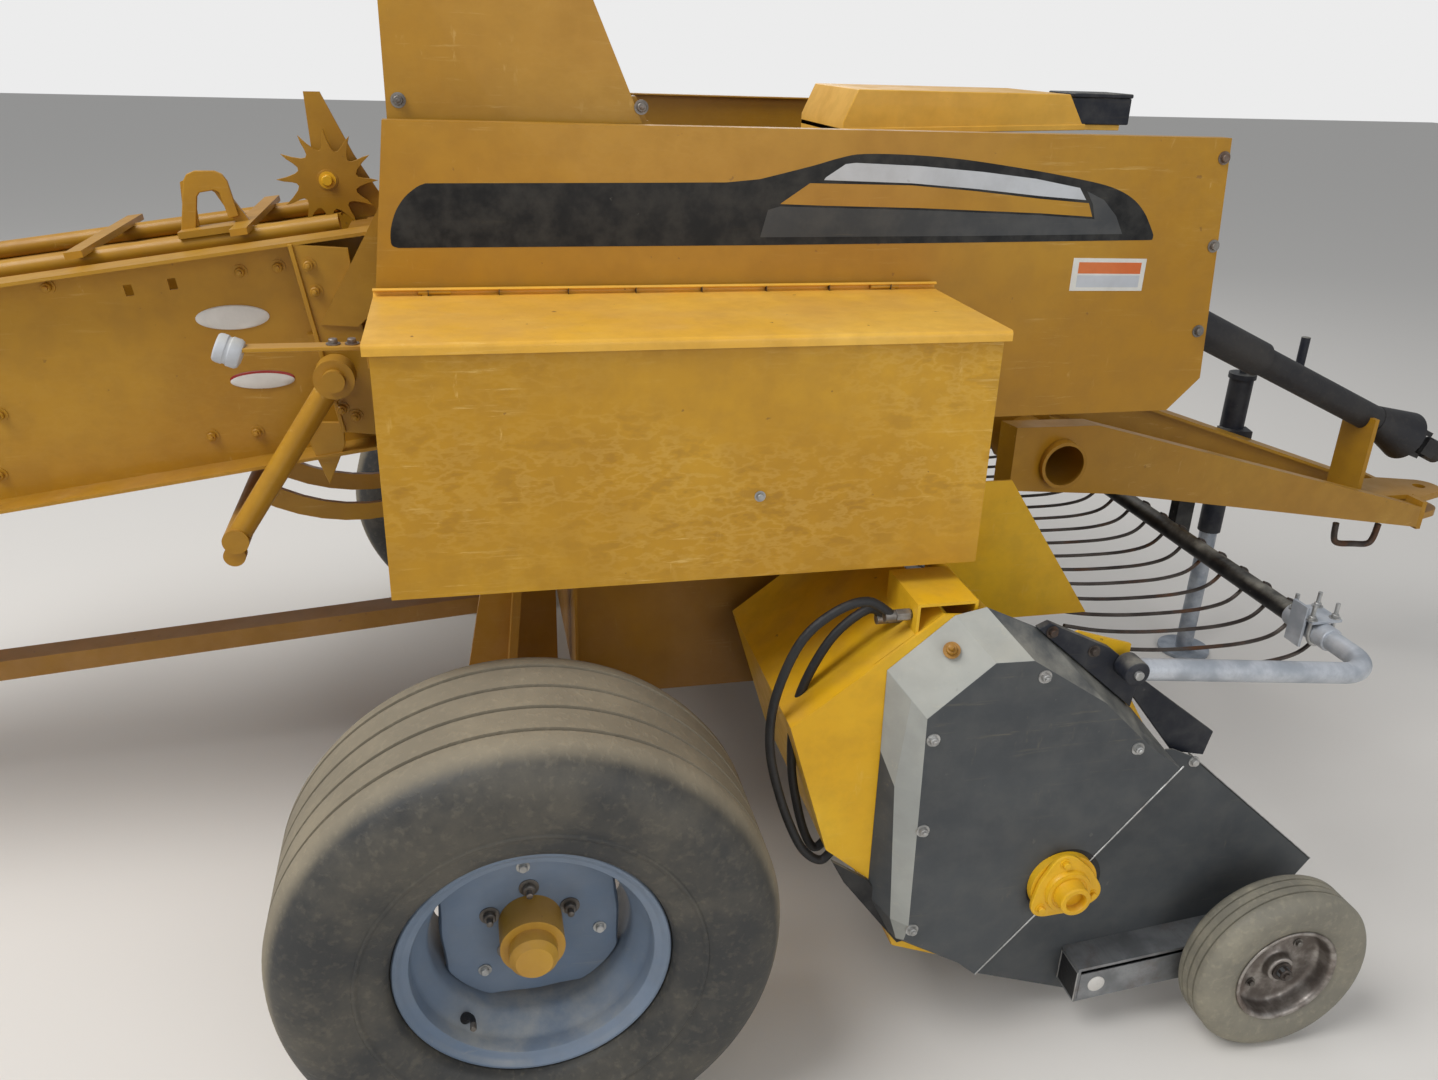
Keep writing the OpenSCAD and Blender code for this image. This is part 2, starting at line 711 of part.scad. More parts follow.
module knotter_frame() color(paint) from_axle() {
    rear = -130;
    post = 12;
    for (side = [RIGHT, LEFT]) {
        on_side(side) {
            plate([[rear - post, deck(rear - post) + seat], [hinge_x + post, deck(hinge_x + post) + seat],
                [hinge_x + post, knot_top], [rear - post, knot_top]], side_in, side_in + 8);
        }
    }
    bar_y(rear, cover_low - 15 - seat, 15, -cover_y, cover_y);
    bar_y(hinge_x, cover_low - 15, 12, -cover_y - 16, cover_y + 16);
    for (x = [rear, hinge_x])
        box([x - post, -side_in - 8, knot_top - 20], [x + post, side_in + 8, knot_top + 6]);
    along_chamber() {
        roof = chamber_h / 2 + plate_t + seat;
        box([-228, 16, roof], [-150, 90, roof + 6]);
        plate([[-228, roof], [-150, roof], [-200, star_at[1] + 40], [-236, star_at[1] + 160], [-266, star_at[1] + 164],
            [-284, star_at[1] - 20], [-270, star_at[1] - 50]], 16, 22);
        bar_y(star_at[0], star_at[1], 9, -16, 16);
    }
}

module knotters() color(steel) from_axle() {
    x = 60;
    z = 1484;
    base = 1380;
    bar_y(x, z, 22, -side_in + seat, side_in - seat);
    for (y = [-needle_y, needle_y]) {
        difference() {
            bar_y(x, z, 100, y + 16, y + 30);
            for (i = [0 : 4])
                translate([x + 66 * cos(72 * i), y + 15, z + 66 * sin(72 * i)])
                    rotate([-90, 0, 0])
                        cylinder(h = 16, r = 16);
        }
        bar_y(x, z, 50, y - 34, y + 16);
        box([x - 90, y - 30, base + 20], [x - 60, y - 18, 1500]);
        box([x - 78, y - 42, base], [x + 60, y - 24, z - 30]);
        translate([x - 62, y - 24, base + 30]) cylinder(h = 60, r = 14);
    }
}

module knotter_cover() color(paint) from_axle() {
    rear = -145;
    hinge_z = cover_low - 15;
    low = cover_low;
    outline = [[rear, low], [rear, cover_z - 60], [rear + 60, cover_z], [118, cover_z], [hinge_x - 10, low]];
    inside = [
        [rear - eps, low - eps], [rear - eps, cover_z - 62 - sheet], [rear + 62, cover_z - sheet],
        [116, cover_z - sheet], [hinge_x - 14, low - eps]
    ];
    difference() {
        plate(outline, -cover_y, cover_y);
        plate(inside, -cover_y + sheet, cover_y - sheet);
    }
    for (y = [-cover_y + 30, cover_y - 60]) {
        difference() {
            union() {
                bar_y(hinge_x, hinge_z, 18, y, y + 30);
                plate([[hinge_x - 16, hinge_z + 4], [hinge_x + 4, hinge_z + 14], [hinge_x - 16, low + 40], [hinge_x - 28, low + 40]],
                    y, y + 30);
            }
            bar_y(hinge_x, hinge_z, 12 + run, y - eps, y + 31);
        }
    }
}

module star_wheel() color(paint) from_axle() along_chamber() {
    teeth = 12;
    tip = 92;
    root = 60;
    step = 360 / teeth;
    translate([star_at[0], 3, star_at[1]])
        rotate([90, 0, 0])
            difference() {
                union() {
                    linear_extrude(6)
                        polygon([for (i = [0 : teeth - 1], k = [0, 1])
                            (k == 0 ? tip : root) * [cos(step * (i + 0.16 * k)), sin(step * (i + 0.16 * k))]]);
                    cylinder(h = 16, r = 20);
                }
                translate([0, 0, -eps]) cylinder(h = 20, r = 9 + run);
            }
}

module lamp(side) color(steel) from_axle() on_side(side) {
    y = box_out - 60;
    z = box_top - 15;
    box([-345, y - 14, z - 3], [box_rear - seat, y + 14, z + 3]);
    box([box_rear - 6, y - 14, z - 30], [box_rear - seat, y + 14, z + 8]);
    bar_x(y, z, 21, -383, -345);
}

// Needles

module needle_yoke() color(paint) from_axle() {
    start = -124;
    tip = -24;
    cross = [-needle_back + needle_r * cos(start), needle_z + needle_r * sin(start)];
    steps = 14;
    for (side = [RIGHT, LEFT]) {
        on_side(side) {
            difference() {
                union() {
                    bar_xz([-needle_back, yoke_y, needle_z], [cross[0], yoke_y, cross[1]], yoke_r - 3);
                    bar_y(-needle_back, needle_z, 36, yoke_y - yoke_r, yoke_y + yoke_r);
                }
                bar_y(-needle_back, needle_z, 20 + run, yoke_y - 60, yoke_y + 60);
            }
            bar_y(cross[0] - 8, cross[1] - 34, 20, yoke_y - 12, yoke_y + 12);
        }
    }
    bar_y(cross[0], cross[1], yoke_r, -yoke_y - yoke_r, yoke_y + yoke_r);
    for (y = [-needle_y, needle_y]) {
        outer = [for (i = [0 : steps]) needle_r + needle_depth / 2 * (1 - 0.5 * i / steps)];
        inner = [for (i = [0 : steps]) needle_r - needle_depth / 2 * (1 - 0.5 * i / steps)];
        angle = [for (i = [0 : steps]) start + (tip - start) * i / steps];
        point = tip + 4;
        translate([-needle_back, 0, needle_z])
            plate(concat(
                [for (i = [0 : steps]) outer[i] * [cos(angle[i]), sin(angle[i])]],
                [(needle_r - 4) * [cos(point), sin(point)]],
                [for (i = [steps : -1 : 0]) inner[i] * [cos(angle[i]), sin(angle[i])]]
            ), y - needle_t / 2, y + needle_t / 2);
    }
}

// Tongue, hitch and jack

module tongue_rail(side) color(paint) from_axle() {
    long = (rail_front - rail_rear) / cos(rail_turn);
    web = 8;
    outline = [[0, 850], [300, 800], [long, rail_low], [long, rail_high], [218, 965], [0, 985]];
    difference() {
        along_rail(side)
            difference() {
                plate(outline, -rail_w, 0);
                translate([0, -web, 0])
                    rotate([90, 0, 0])
                        linear_extrude(rail_w)
                            offset(delta = -web) polygon(outline);
            }
        bar_y(root_x, root_z, root_r + seat, -rail_y - 100, rail_y + 100);
    }
}

module tongue_hitch() color(paint) from_axle() {
    wide = rail_at(rail_front) + 25;
    hang = 250;
    shelf = rail_high + 2;
    rest_x = rail_front - 150;
    drive_at = cross_z - (rest_x - cross_x) * tan(drive_slope);
    difference() {
        union() {
            bar_y(root_x, root_z, root_r, -rail_y - 50, rail_y + 50);
            for (side = [RIGHT, LEFT])
                on_side(side)
                    plate([[root_x - 200, belly(root_x - 200) - seat], [root_x - 96, belly(root_x - 96) - seat],
                        [root_x + 60, root_z + 40], [root_x + 60, root_z - 40], [root_x - 60, root_z - 40]], hang, hang + 12);
            box([rail_front - 180, -64, shelf], [rail_front + 20, 64, shelf + 12]);
            box([rail_front + seat, -wide, rail_low - 6], [rail_front + 14, wide, shelf + 12]);
            for (level = [rail_low - 6, rail_high - 8])
                hull() {
                    box([rail_front + 10, -80, level], [rail_front + 20, 80, level + 18]);
                    translate([tip_ahead - 50, 0, level]) cylinder(h = 18, r = 50);
                }
            box([rest_x - 6, -56, shelf + 10], [rest_x + 6, 56, drive_at]);
        }
        bar_y(root_x, root_z, root_r - 7, -rail_y - 60, rail_y + 60);
        translate([tip_ahead - hitch_in, 0, rail_low - 40]) cylinder(h = 140, r = hitch_r);
        translate([cross_x, 0, cross_z]) rotate([0, drive_slope, 0]) bar_x(0, 0, 36 + 0.5, 900, 1300);
    }
}

// Local frame of the jack, upright beside the left rail
module at_jack() {
    along_rail(LEFT)
        translate([(jack_x - rail_rear) / cos(rail_turn), 18 + jack_r, 0])
            children();
}

module jack_tube() color(shade) from_axle() at_jack() {
    low = 400;
    top = low + 460;
    difference() {
        union() {
            translate([0, 0, low]) cylinder(h = top - low, r = jack_r);
            box([-40, -18 - jack_r + seat, 650], [40, 0, 720]);
        }
        translate([0, 0, low - eps]) cylinder(h = top - low - 10, r = jack_r - 7);
    }
    translate([0, 0, top]) cylinder(h = 14, r = jack_r + 5);
    translate([0, 0, top + 14]) cylinder(h = 30, r = 10);
    bar_x(0, top + 38, 8, 0, 150);
    translate([150, 0, top + 30]) cylinder(h = 90, r = 12);
}

module jack_leg() color(steel) from_axle() at_jack() {
    translate([0, 0, 10]) cylinder(h = 510, r = jack_r - 7 - seat);
    cylinder(h = 10, r = 75);
}

module bale_chute() color(paint) from_axle() {
    pin = from_chamber(-chamber_rear - 16, -chamber_h / 2 - plate_t - 10);
    floor_y = side_in + 20;
    drop = 60;
    t = 5;
    long = pin[0] + tail_behind;
    translate([pin[0], 0, pin[1]]) {
        difference() {
            union() {
                plate([[-18, 8], [-long, 8 - drop], [-long, 8 - drop + t], [-18, 8 + t]], -floor_y, floor_y);
                for (y = [-130, 60])
                    bar_y(0, 0, 15, y, y + 70);
                for (y = [-130, 60])
                    box([-40, y, -8], [0, y + 70, 12]);
            }
            bar_y(0, 0, 8 + run, -floor_y, floor_y);
        }
        for (side = [RIGHT, LEFT])
            on_side(side)
                plate([[-120, 6], [-long, 10 - drop], [-long, 40 - drop], [-330, 18], [-130, 12]], floor_y - 4, floor_y);
        for (y = [-160, 0, 152])
            plate([[-60, 5], [-long + 40, 11 - drop], [-long + 40, -10 - drop], [-60, -20]], y, y + 8);
    }
}

// Pickup

shield_outline = [
    [566, 780], [660, 877], [728, 874], [820, 829], [1010, 690], [1114, 545], [805, 118], [643, 228], [596, 300], [578, 560]
];
shield_face = [
    [612, 716], [712, 812], [772, 812], [820, 800], [985, 690], [1114, 545], [805, 118], [700, 262], [668, 320], [640, 570]
];

module pickup_frame() color(paint) from_axle() {
    inner = pickup_y - end_t;
    wing = 630;
    back = [[553, 775], [423, 676], [499, 426], [582, 352], [640, 194]];
    plate_outline = concat(
        [[805, 125], [985, 92], [1130, 330], [1105, 545], [guard_x + 15, guard_z - 50], [guard_x + 15, guard_z + 26],
            [905, 810], [850, 795], [725, 855], [665, 860]], back
    );
    difference() {
        union() {
            for (side = [RIGHT, LEFT]) {
                on_side(side) {
                    plate(plate_outline, inner, pickup_y);
                    bar_y(reel_x, reel_z, 62, pickup_y, shield_out + 14);
                    bar_y(reel_x, reel_z, 40, shield_out + 14, shield_out + 34);
                    for (i = [0 : len(back) - 2])
                        plate([back[i], back[i + 1], back[i + 1] + [4, 2], back[i] + [4, 2]], feeder_y + 60, inner);
                    plate([[776, 655], [1130, 655], [930, 945], [870, 945], [776, 850]], wing, wing + 4);
                    bar_y(790, 790, 14, wing + 2, inner);
                    difference() {
                        box([620, 838, 806], [722, inner, 878]);
                        box([625, 843, 805], [717, inner + eps, 873]);
                    }
                }
            }
            box([640, -inner, 190], [680, inner, 200]);
            box([600, -inner, 538], [640, inner, 550]);
        }
        bar_y(pivot_x, pivot_z, auger_shaft_r + run, -pickup_y - eps, pickup_y + eps);
        bar_y(reel_x, reel_z, 20 + run, -shield_out - 60, shield_out + 60);
    }
}

module strippers() color(steel) from_axle() {
    low = -112;
    high = 90;
    foot = [645, 208];
    outer = concat(
        [foot], arc([reel_x, reel_z], band_r, low, high, 20), [[605, reel_z + band_r]]
    );
    inner = concat(
        [foot + [0, band_t]], arc([reel_x, reel_z], band_r - band_t, low, high, 20),
        [[605, reel_z + band_r - band_t]]
    );
    outline = concat(outer, [for (i = [len(inner) - 1 : -1 : 0]) inner[i]]);
    for (i = [0 : bands - 1]) {
        y = (i - (bands - 1) / 2) * band_pitch;
        plate(outline, y - (band_pitch - band_gap) / 2, y + (band_pitch - band_gap) / 2);
    }
}

module end_shield(side) color(shade) from_axle() on_side(side) {
    difference() {
        hull() {
            plate(shield_outline, shield_in, shield_in + 1);
            plate(shield_face, shield_out - 1, shield_out);
        }
        hull() {
            plate([for (p = shield_outline) [840, 500] + (p - [840, 500]) * 0.985], shield_in - 1, shield_in);
            plate([for (p = shield_face) [840, 500] + (p - [840, 500]) * 0.985], shield_out - sheet - 1, shield_out - sheet);
        }
        bar_y(reel_x, reel_z, 62 + seat, shield_in - 2, shield_out + 2);
    }
}

module front_skirt(side) color(shade) from_axle() on_side(side) {
    outline = [[808, 112], [1118, 540], [1150, 553], [1435, 300], [1385, 200], [985, 70]];
    difference() {
        union() {
            plate(outline, skirt_y, skirt_y + sheet);
            plate([[960, 92], [975, 140], [990, 140], [985, 95]], shield_in, skirt_y);
            plate([[1080, 520], [1118, 540], [1128, 520], [1090, 500]], shield_in, skirt_y);
        }
        bar_y(reel_x, reel_z, 62 + seat, shield_in - 2, shield_out + 2);
        plate([for (p = shield_face) p + [4, -2]], shield_in - 1, shield_out);
    }
}

module gauge_arm(side) color(steel) from_axle() on_side(side) {
    t = 6;
    rear = gauge_x - 357;
    front = gauge_x + 22;
    low = gauge_z - 52;
    rise = 0.09;
    outer = gauge_y - gauge_w / 2 - clear;
    outline = [
        [rear, low - (front - rear) * rise], [front, low], [front, low + gauge_arm_h],
        [rear, low + gauge_arm_h - (front - rear) * rise]
    ];
    difference() {
        plate(outline, arm_y, outer);
        translate([0, outer + eps, 0])
            rotate([90, 0, 0])
                linear_extrude(outer + eps - arm_y - t)
                    offset(delta = -t) polygon(outline);
    }
    bar_y(gauge_x, gauge_z, 20, arm_y + t, outer);
    bar_y(gauge_x, gauge_z, gauge_pin_r, outer, gauge_y + gauge_w / 2 - 8);
    bar_y(rear + 50, low - 2, 13, arm_y + t, outer);
}

module gauge_tyre(side) color(black) from_axle() {
    facets = 40;
    half = gauge_w / 2;
    r = gauge_d / 2;
    bead = (gauge_rim_r + seat) / cos(180 / facets);
    rings = [[r, half - 26], [r - 8, half - 12], [r - 26, half]];
    at_wheel(gauge_x, gauge_y, gauge_z, side)
        difference() {
            hull()
                for (ring = rings)
                    cylinder(h = 2 * ring[1], r = ring[0], center = true, $fn = facets);
            cylinder(h = gauge_w, r = bead, center = true, $fn = facets);
        }
}

module gauge_rim(side) color(steel) from_axle() {
    half = gauge_w / 2;
    r = gauge_rim_r;
    at_wheel(gauge_x, gauge_y, gauge_z, side)
        rotate_extrude()
            polygon([
                [r, half - 16], [r, -half + 16], [r - 6, -half + 16], [r - 6, -4], [30, -4], [30, -half + 4],
                [gauge_pin_r + run, -half + 4], [gauge_pin_r + run, half - 10], [30, half - 10], [30, 2], [r - 6, 2],
                [r - 6, half - 16]
            ]);
}

module guard_brackets() color(black) from_axle() {
    for (side = [RIGHT, LEFT]) {
        on_side(side) {
            difference() {
                plate([[guard_x - 140, guard_z + 48], [guard_x - 148, guard_z + 8], [guard_x - 40, guard_z - 50],
                    [guard_x + 25, guard_z - 40], [guard_x + 25, guard_z + 24], [guard_x - 20, guard_z + 30]],
                    pickup_y + seat, pickup_y + 8);
                plate([for (p = shield_outline) [840, 500] + (p - [840, 500]) * 1.001], pickup_y, pickup_y + 80);
            }
            bar_y(guard_x, guard_z, 8, pickup_y + 8, guard_y + 26);
        }
    }
}

module windguard() color(steel) from_axle() {
    front = [guard_x + guard_reach, guard_z - guard_drop];
    bend = 50;
    for (side = [RIGHT, LEFT]) {
        on_side(side) {
            difference() {
                union() {
                    bar_y(guard_x, guard_z, 22, guard_y - 20, guard_y + 20);
                    bar_xz([guard_x, guard_y, guard_z], [front[0] - bend, guard_y, front[1] + 4], guard_r);
                }
                bar_y(guard_x, guard_z, 8 + run, guard_y - 60, guard_y + 60);
            }
            translate([front[0] - bend, guard_y - bend, front[1] + 4])
                rotate_extrude(angle = 90)
                    translate([bend, 0]) circle(r = guard_r + 1);
        }
    }
    bar_y(front[0], front[1] + 4, guard_r, -guard_y + bend, guard_y - bend);
    for (i = [0 : guard_rods - 1]) {
        y = (i - (guard_rods - 1) / 2) * (2 * pickup_y - 120) / (guard_rods - 1);
        bar_xz([front[0] - 4, y, front[1] - 10], [guard_x + 10, y, guard_z - 84], 4);
    }
}

module reel() color(steel) from_axle() {
    bar_y(reel_x, reel_z, 20, -shield_out - 30, shield_out + 30);
    bar_y(reel_x, reel_z, 38, -pickup_y + 30, pickup_y - 30);
    bar_circle = 130;
    for (y = [-pickup_y + 40, -330, 330, pickup_y - 46])
        bar_y(reel_x, reel_z, bar_circle + 14, y, y + 6);
    for (k = [0 : 3]) {
        a = 90 * k + 20;
        c = [reel_x + bar_circle * cos(a), reel_z + bar_circle * sin(a)];
        bar_y(c[0], c[1], 12, -pickup_y + 34, pickup_y - 34);
        for (i = [0 : bands - 2]) {
            y = (i - (bands - 2) / 2) * band_pitch;
            bar_xz([c[0], y, c[1]], [reel_x + tine_r * cos(a - 10), y, reel_z + tine_r * sin(a - 10)], wire_r);
        }
    }
}

module auger() color(steel) from_axle() {
    from = feeder_y + 14;
    long = pickup_y - end_t - 14 - from;
    core = 34;
    bar_y(pivot_x, pivot_z, auger_shaft_r, -pickup_y, pickup_y);
    for (side = [RIGHT, LEFT])
        on_side(side) {
            bar_y(pivot_x, pivot_z, core, from, from + long);
            translate([pivot_x, from, pivot_z])
                rotate([-90, 0, 0])
                    linear_extrude(height = long, twist = 360 * 1.6, slices = 36)
                        translate([-5, core + 0.8]) square([10, auger_r - core - 0.8]);
        }
}

module pickup_hoses() color(black) from_axle() {
    sweep = [[480, 836], [420, 770], [388, 690], [392, 600], [414, 510], [438, 440], [470, 394]];
    for (i = [0, 1])
        on_side(RIGHT)
            translate([0, 945 - 34 * i, 0])
                hose(concat([[620 - seat, 0, 850 - 22 * i]], [[560, 0, 850 - 22 * i]],
                    [for (p = sweep) [p[0] + 12 * i, 0, p[1]]],
                    [[504, 0, 381.3], [523.7, 0, 403.4]]), 8);
}

axle_beam();
axle_stands();
chamber_side(RIGHT);  // chamber_side_right
chamber_side(LEFT);  // chamber_side_left
chamber_floor();
chamber_roof();
tension_rails();
tension_yoke();
plunger();
pull_beam();
feeder_housing();
gearbox();
front_hood();
panel_brackets();
side_panel(RIGHT);  // side_panel_right
side_panel(LEFT);  // side_panel_left
twine_box(RIGHT);  // twine_box_right
twine_box(LEFT);  // twine_box_left
twine_lid(RIGHT);  // twine_lid_right
twine_lid(LEFT);  // twine_lid_left
knotter_frame();
knotters();
knotter_cover();
star_wheel();
lamp(RIGHT);  // lamp_right
lamp(LEFT);  // lamp_left
needle_yoke();
tongue_rail(RIGHT);  // tongue_rail_right
tongue_rail(LEFT);  // tongue_rail_left
tongue_hitch();
driveline();
flywheel();
jack_tube();
jack_leg();
bale_chute();
pickup_frame();
strippers();
end_shield(RIGHT);  // end_shield_right
end_shield(LEFT);  // end_shield_left
front_skirt(RIGHT);  // front_skirt_right
front_skirt(LEFT);  // front_skirt_left
gauge_arm(RIGHT);  // gauge_arm_right
gauge_arm(LEFT);  // gauge_arm_left
guard_brackets();
pickup_hoses();
reel();
auger();
windguard();
gauge_tyre(RIGHT);  // gauge_tyre_right
gauge_tyre(LEFT);  // gauge_tyre_left
gauge_rim(RIGHT);  // gauge_rim_right
gauge_rim(LEFT);  // gauge_rim_left
tyre(RIGHT);  // tyre_right
tyre(LEFT);  // tyre_left
rim(RIGHT);  // rim_right
rim(LEFT);  // rim_left
hub(RIGHT);  // hub_right
hub(LEFT);  // hub_left
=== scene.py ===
import functools
import math

import bmesh
import bpy
import numpy as np
from mathutils import Matrix, Vector


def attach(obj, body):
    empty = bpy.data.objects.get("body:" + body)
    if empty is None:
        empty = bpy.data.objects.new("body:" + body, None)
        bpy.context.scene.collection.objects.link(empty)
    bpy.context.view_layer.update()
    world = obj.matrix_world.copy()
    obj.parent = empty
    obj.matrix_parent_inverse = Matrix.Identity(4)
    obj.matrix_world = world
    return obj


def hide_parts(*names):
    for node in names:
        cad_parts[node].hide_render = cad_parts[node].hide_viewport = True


bl_info = {
    "name": "Square Baler",
    "version": (1, 0, 0),
    "blender": (4, 5, 0),
    "location": "View3D > Sidebar > Baler",
    "description": "Dresses the packed square baler with its finishes, tyres, decals, fasteners and fittings",
    "category": "Object",
}

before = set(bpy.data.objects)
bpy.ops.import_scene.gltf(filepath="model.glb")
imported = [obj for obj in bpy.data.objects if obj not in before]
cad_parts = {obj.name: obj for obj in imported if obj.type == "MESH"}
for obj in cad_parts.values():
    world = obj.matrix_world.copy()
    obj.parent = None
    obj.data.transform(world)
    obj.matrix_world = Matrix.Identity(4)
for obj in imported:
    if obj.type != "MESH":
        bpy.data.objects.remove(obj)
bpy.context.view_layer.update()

# Values of the machine, in metres, as in the part's source
AXLE_X = -0.05
PANEL_Y = 0.58
BOX_OUT = 0.8933
WHEEL_Y = 0.9785
TYRE_R = 0.39
GAUGE_X = 1.275
GAUGE_Y = 1.114
GAUGE_R = 0.17
REEL_X = 0.86
REEL_Z = 0.354
SHIELD_Y = 1.0403
SKIRT_OUT = 1.0003
CHAMBER_OUT = 0.2345
POST_OUT = 0.302
LAMP_Y = 0.8333
LAMP_Z = 1.275

SIDES = {"right": -1, "left": 1}
SHARP_ANGLE = math.radians(35)
BEVEL_SEGMENTS = 2
# The camera as fitted to the photograph: turn, tilt and roll in degrees, place, and focal length in pixels
CAMERA_ANGLES = (13.1239, 23.5901, -1.9)
CAMERA_PLACE = (-0.1, -2.4564, 1.6766)
FOCAL_PIXELS = 1143.33
IMAGE_WIDTH = 1438
# A tread radius past every rubber piece, for rubber with no tread of its own
NO_TREAD = 50.0


def linear(red, green, blue):
    """A colour given in 0 to 255 as sRGB, as linear values between 0 and 1, with an alpha of 1."""
    srgb = np.array([red, green, blue]) / 255
    return (*np.where(srgb <= 0.04045, srgb / 12.92, ((srgb + 0.055) / 1.055) ** 2.4).tolist(), 1.0)


# Shapes worked out with numpy


def grid_faces(rows, columns, close_rows=False, close_columns=False):
    """Quads of a grid of points: each joins a point to the next in its row and to the two in the next row."""
    i, j = np.indices((rows - (not close_rows), columns - (not close_columns))).reshape(2, -1)
    k, m = (i + 1) % rows, (j + 1) % columns
    return np.stack([i * columns + j, k * columns + j, k * columns + m, i * columns + m], 1).tolist()


def capped_faces(rings, count):
    """Faces of a stack of rings of points, each joined to the next, with a flat face closing each end."""
    ends = [list(range(start, start + count)) for start in (0, (rings - 1) * count)]
    return grid_faces(rings, count, False, True) + ends


def turned(profile, centre, segments):
    """A closed profile of (radius, distance outward) turned about the Y axis through centre, for the left."""
    angle = np.linspace(0, 2 * np.pi, segments, endpoint=False)[:, None]
    radius, out = np.asarray(profile, float).T
    points = np.stack([
        centre[0] + radius * np.cos(angle),
        np.broadcast_to(centre[1] + out, (segments, len(out))),
        centre[2] + radius * np.sin(angle),
    ], -1)
    return points.reshape(-1, 3), grid_faces(segments, len(out), True, True)


def capped_turn(profile, centre, axis, segments):
    """A profile of (radius, distance along) turned about an axis, with a flat face closing each end."""
    axis = np.asarray(axis, float) / np.linalg.norm(axis)
    across = np.cross(axis, [0.31, 0.53, 0.79])
    across /= np.linalg.norm(across)
    other = np.cross(axis, across)
    angle = np.linspace(0, 2 * np.pi, segments, endpoint=False)
    ring = np.cos(angle)[:, None] * across + np.sin(angle)[:, None] * other
    radius, along = np.asarray(profile, float).T
    points = np.asarray(centre) + radius[:, None, None] * ring + along[:, None, None] * axis
    return points.reshape(-1, 3), capped_faces(len(radius), segments)


def prism(outline, low, high):
    """An outline in x and z, carried along Y from low to high and closed at both ends."""
    flat = np.asarray(outline, float)
    count = len(flat)
    ends = [np.column_stack([flat[:, 0], np.full(count, y), flat[:, 1]]) for y in (low, high)]
    return np.concatenate(ends), capped_faces(2, count)


def block(low, high):
    """A box between two corners, as a prism of its side view."""
    (x0, y0, z0), (x1, y1, z1) = low, high
    return prism([(x0, z0), (x1, z0), (x1, z1), (x0, z1)], y0, y1)


def carried(outline, low, high):
    """An outline in y and z, carried along X from low to high and closed at both ends."""
    points, faces = prism(outline, low, high)
    return points[:, [1, 0, 2]], faces


def band(path, thick):
    """The closed outline of a folded sheet: its path, moved half the thickness to each side, square to it."""
    p = np.asarray(path, float)
    along = np.gradient(p, axis=0)
    along /= np.linalg.norm(along, axis=1)[:, None]
    out = np.column_stack([-along[:, 1], along[:, 0]]) * thick / 2
    return np.concatenate([p + out, (p - out)[::-1]])


def smooth_path(points, steps):
    """Points on a Catmull-Rom curve: cubics from point to point, whose slopes come from the neighbours."""
    p = np.asarray(points, float)
    padded = np.concatenate([p[:1], p, p[-1:]])
    a, b, c, d = (q[:, None, :] for q in (padded[:-3], padded[1:-2], padded[2:-1], padded[3:]))
    t = np.linspace(0, 1, steps, endpoint=False)[None, :, None]
    curve = 0.5 * (2 * b + (c - a) * t + (2 * a - 5 * b + 4 * c - d) * t**2 + (3 * b - a - 3 * c + d) * t**3)
    return np.concatenate([curve.reshape(-1, p.shape[1]), p[-1:]])


def tube(path, radius, sides, closed=False):
    """A circle carried along a path, square to it at each point, and closed by a flat face at each end."""
    p = np.asarray(path, float)
    count = len(p)
    if closed:
        tangent = np.roll(p, -1, 0) - np.roll(p, 1, 0)
    else:
        tangent = np.gradient(p, axis=0)
    tangent /= np.linalg.norm(tangent, axis=1)[:, None]
    guide = np.eye(3)[np.argmin(np.abs(tangent).sum(0))]
    across = np.cross(tangent, guide)
    across /= np.linalg.norm(across, axis=1)[:, None]
    other = np.cross(tangent, across)
    angle = np.linspace(0, 2 * np.pi, sides, endpoint=False)
    thick = np.broadcast_to(np.asarray(radius, float).reshape(-1, 1, 1), (count, 1, 1))
    ring = np.cos(angle)[None, :, None] * across[:, None] + np.sin(angle)[None, :, None] * other[:, None]
    faces = grid_faces(count, sides, True, True) if closed else capped_faces(count, sides)
    return (p[:, None] + thick * ring).reshape(-1, 3), faces


def round_bar(start, end, radius):
    """A plain round bar between two points."""
    along = np.subtract(end, start)
    return capped_turn([(radius, 0), (radius, np.linalg.norm(along))], start, along, 24)


def joined(shapes):
    """Several (points, faces) shapes as one."""
    points, faces, start = [], [], 0
    for shape_points, shape_faces in shapes:
        points.append(np.asarray(shape_points, float))
        faces += [[index + start for index in face] for face in shape_faces]
        start += len(shape_points)
    return np.concatenate(points), faces


def mirrored(shape, side):
    """The same shape on the left or the right, its y taken times side."""
    points = np.array(shape[0], float)
    points[:, 1] *= side
    return points, shape[1]


def add_piece(name, shape, finish, body, bevel=0.0, smooth=True, replaces=()):
    """Makes a mesh with its faces outward, gives it a finish, rounds its edges and hangs it on a body."""
    mesh = bpy.data.meshes.new(name)
    points, faces = shape
    mesh.from_pydata(np.asarray(points).tolist(), [], faces)
    work = bmesh.new()
    work.from_mesh(mesh)
    bmesh.ops.recalc_face_normals(work, faces=work.faces)
    work.to_mesh(mesh)
    work.free()
    piece = bpy.data.objects.new(name, mesh)
    bpy.context.scene.collection.objects.link(piece)
    mesh.materials.append(bpy.data.materials[finish])
    if smooth:
        mesh.shade_smooth()
        mesh.set_sharp_from_angle(angle=SHARP_ANGLE)
    if bevel:
        rounding = piece.modifiers.new("Rounded edges", "BEVEL")
        rounding.width = bevel
        rounding.segments = BEVEL_SEGMENTS
        rounding.limit_method = "ANGLE"
        rounding.angle_limit = SHARP_ANGLE
        rounding.harden_normals = True
    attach(piece, body)
    if replaces:
        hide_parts(*replaces)
    return piece


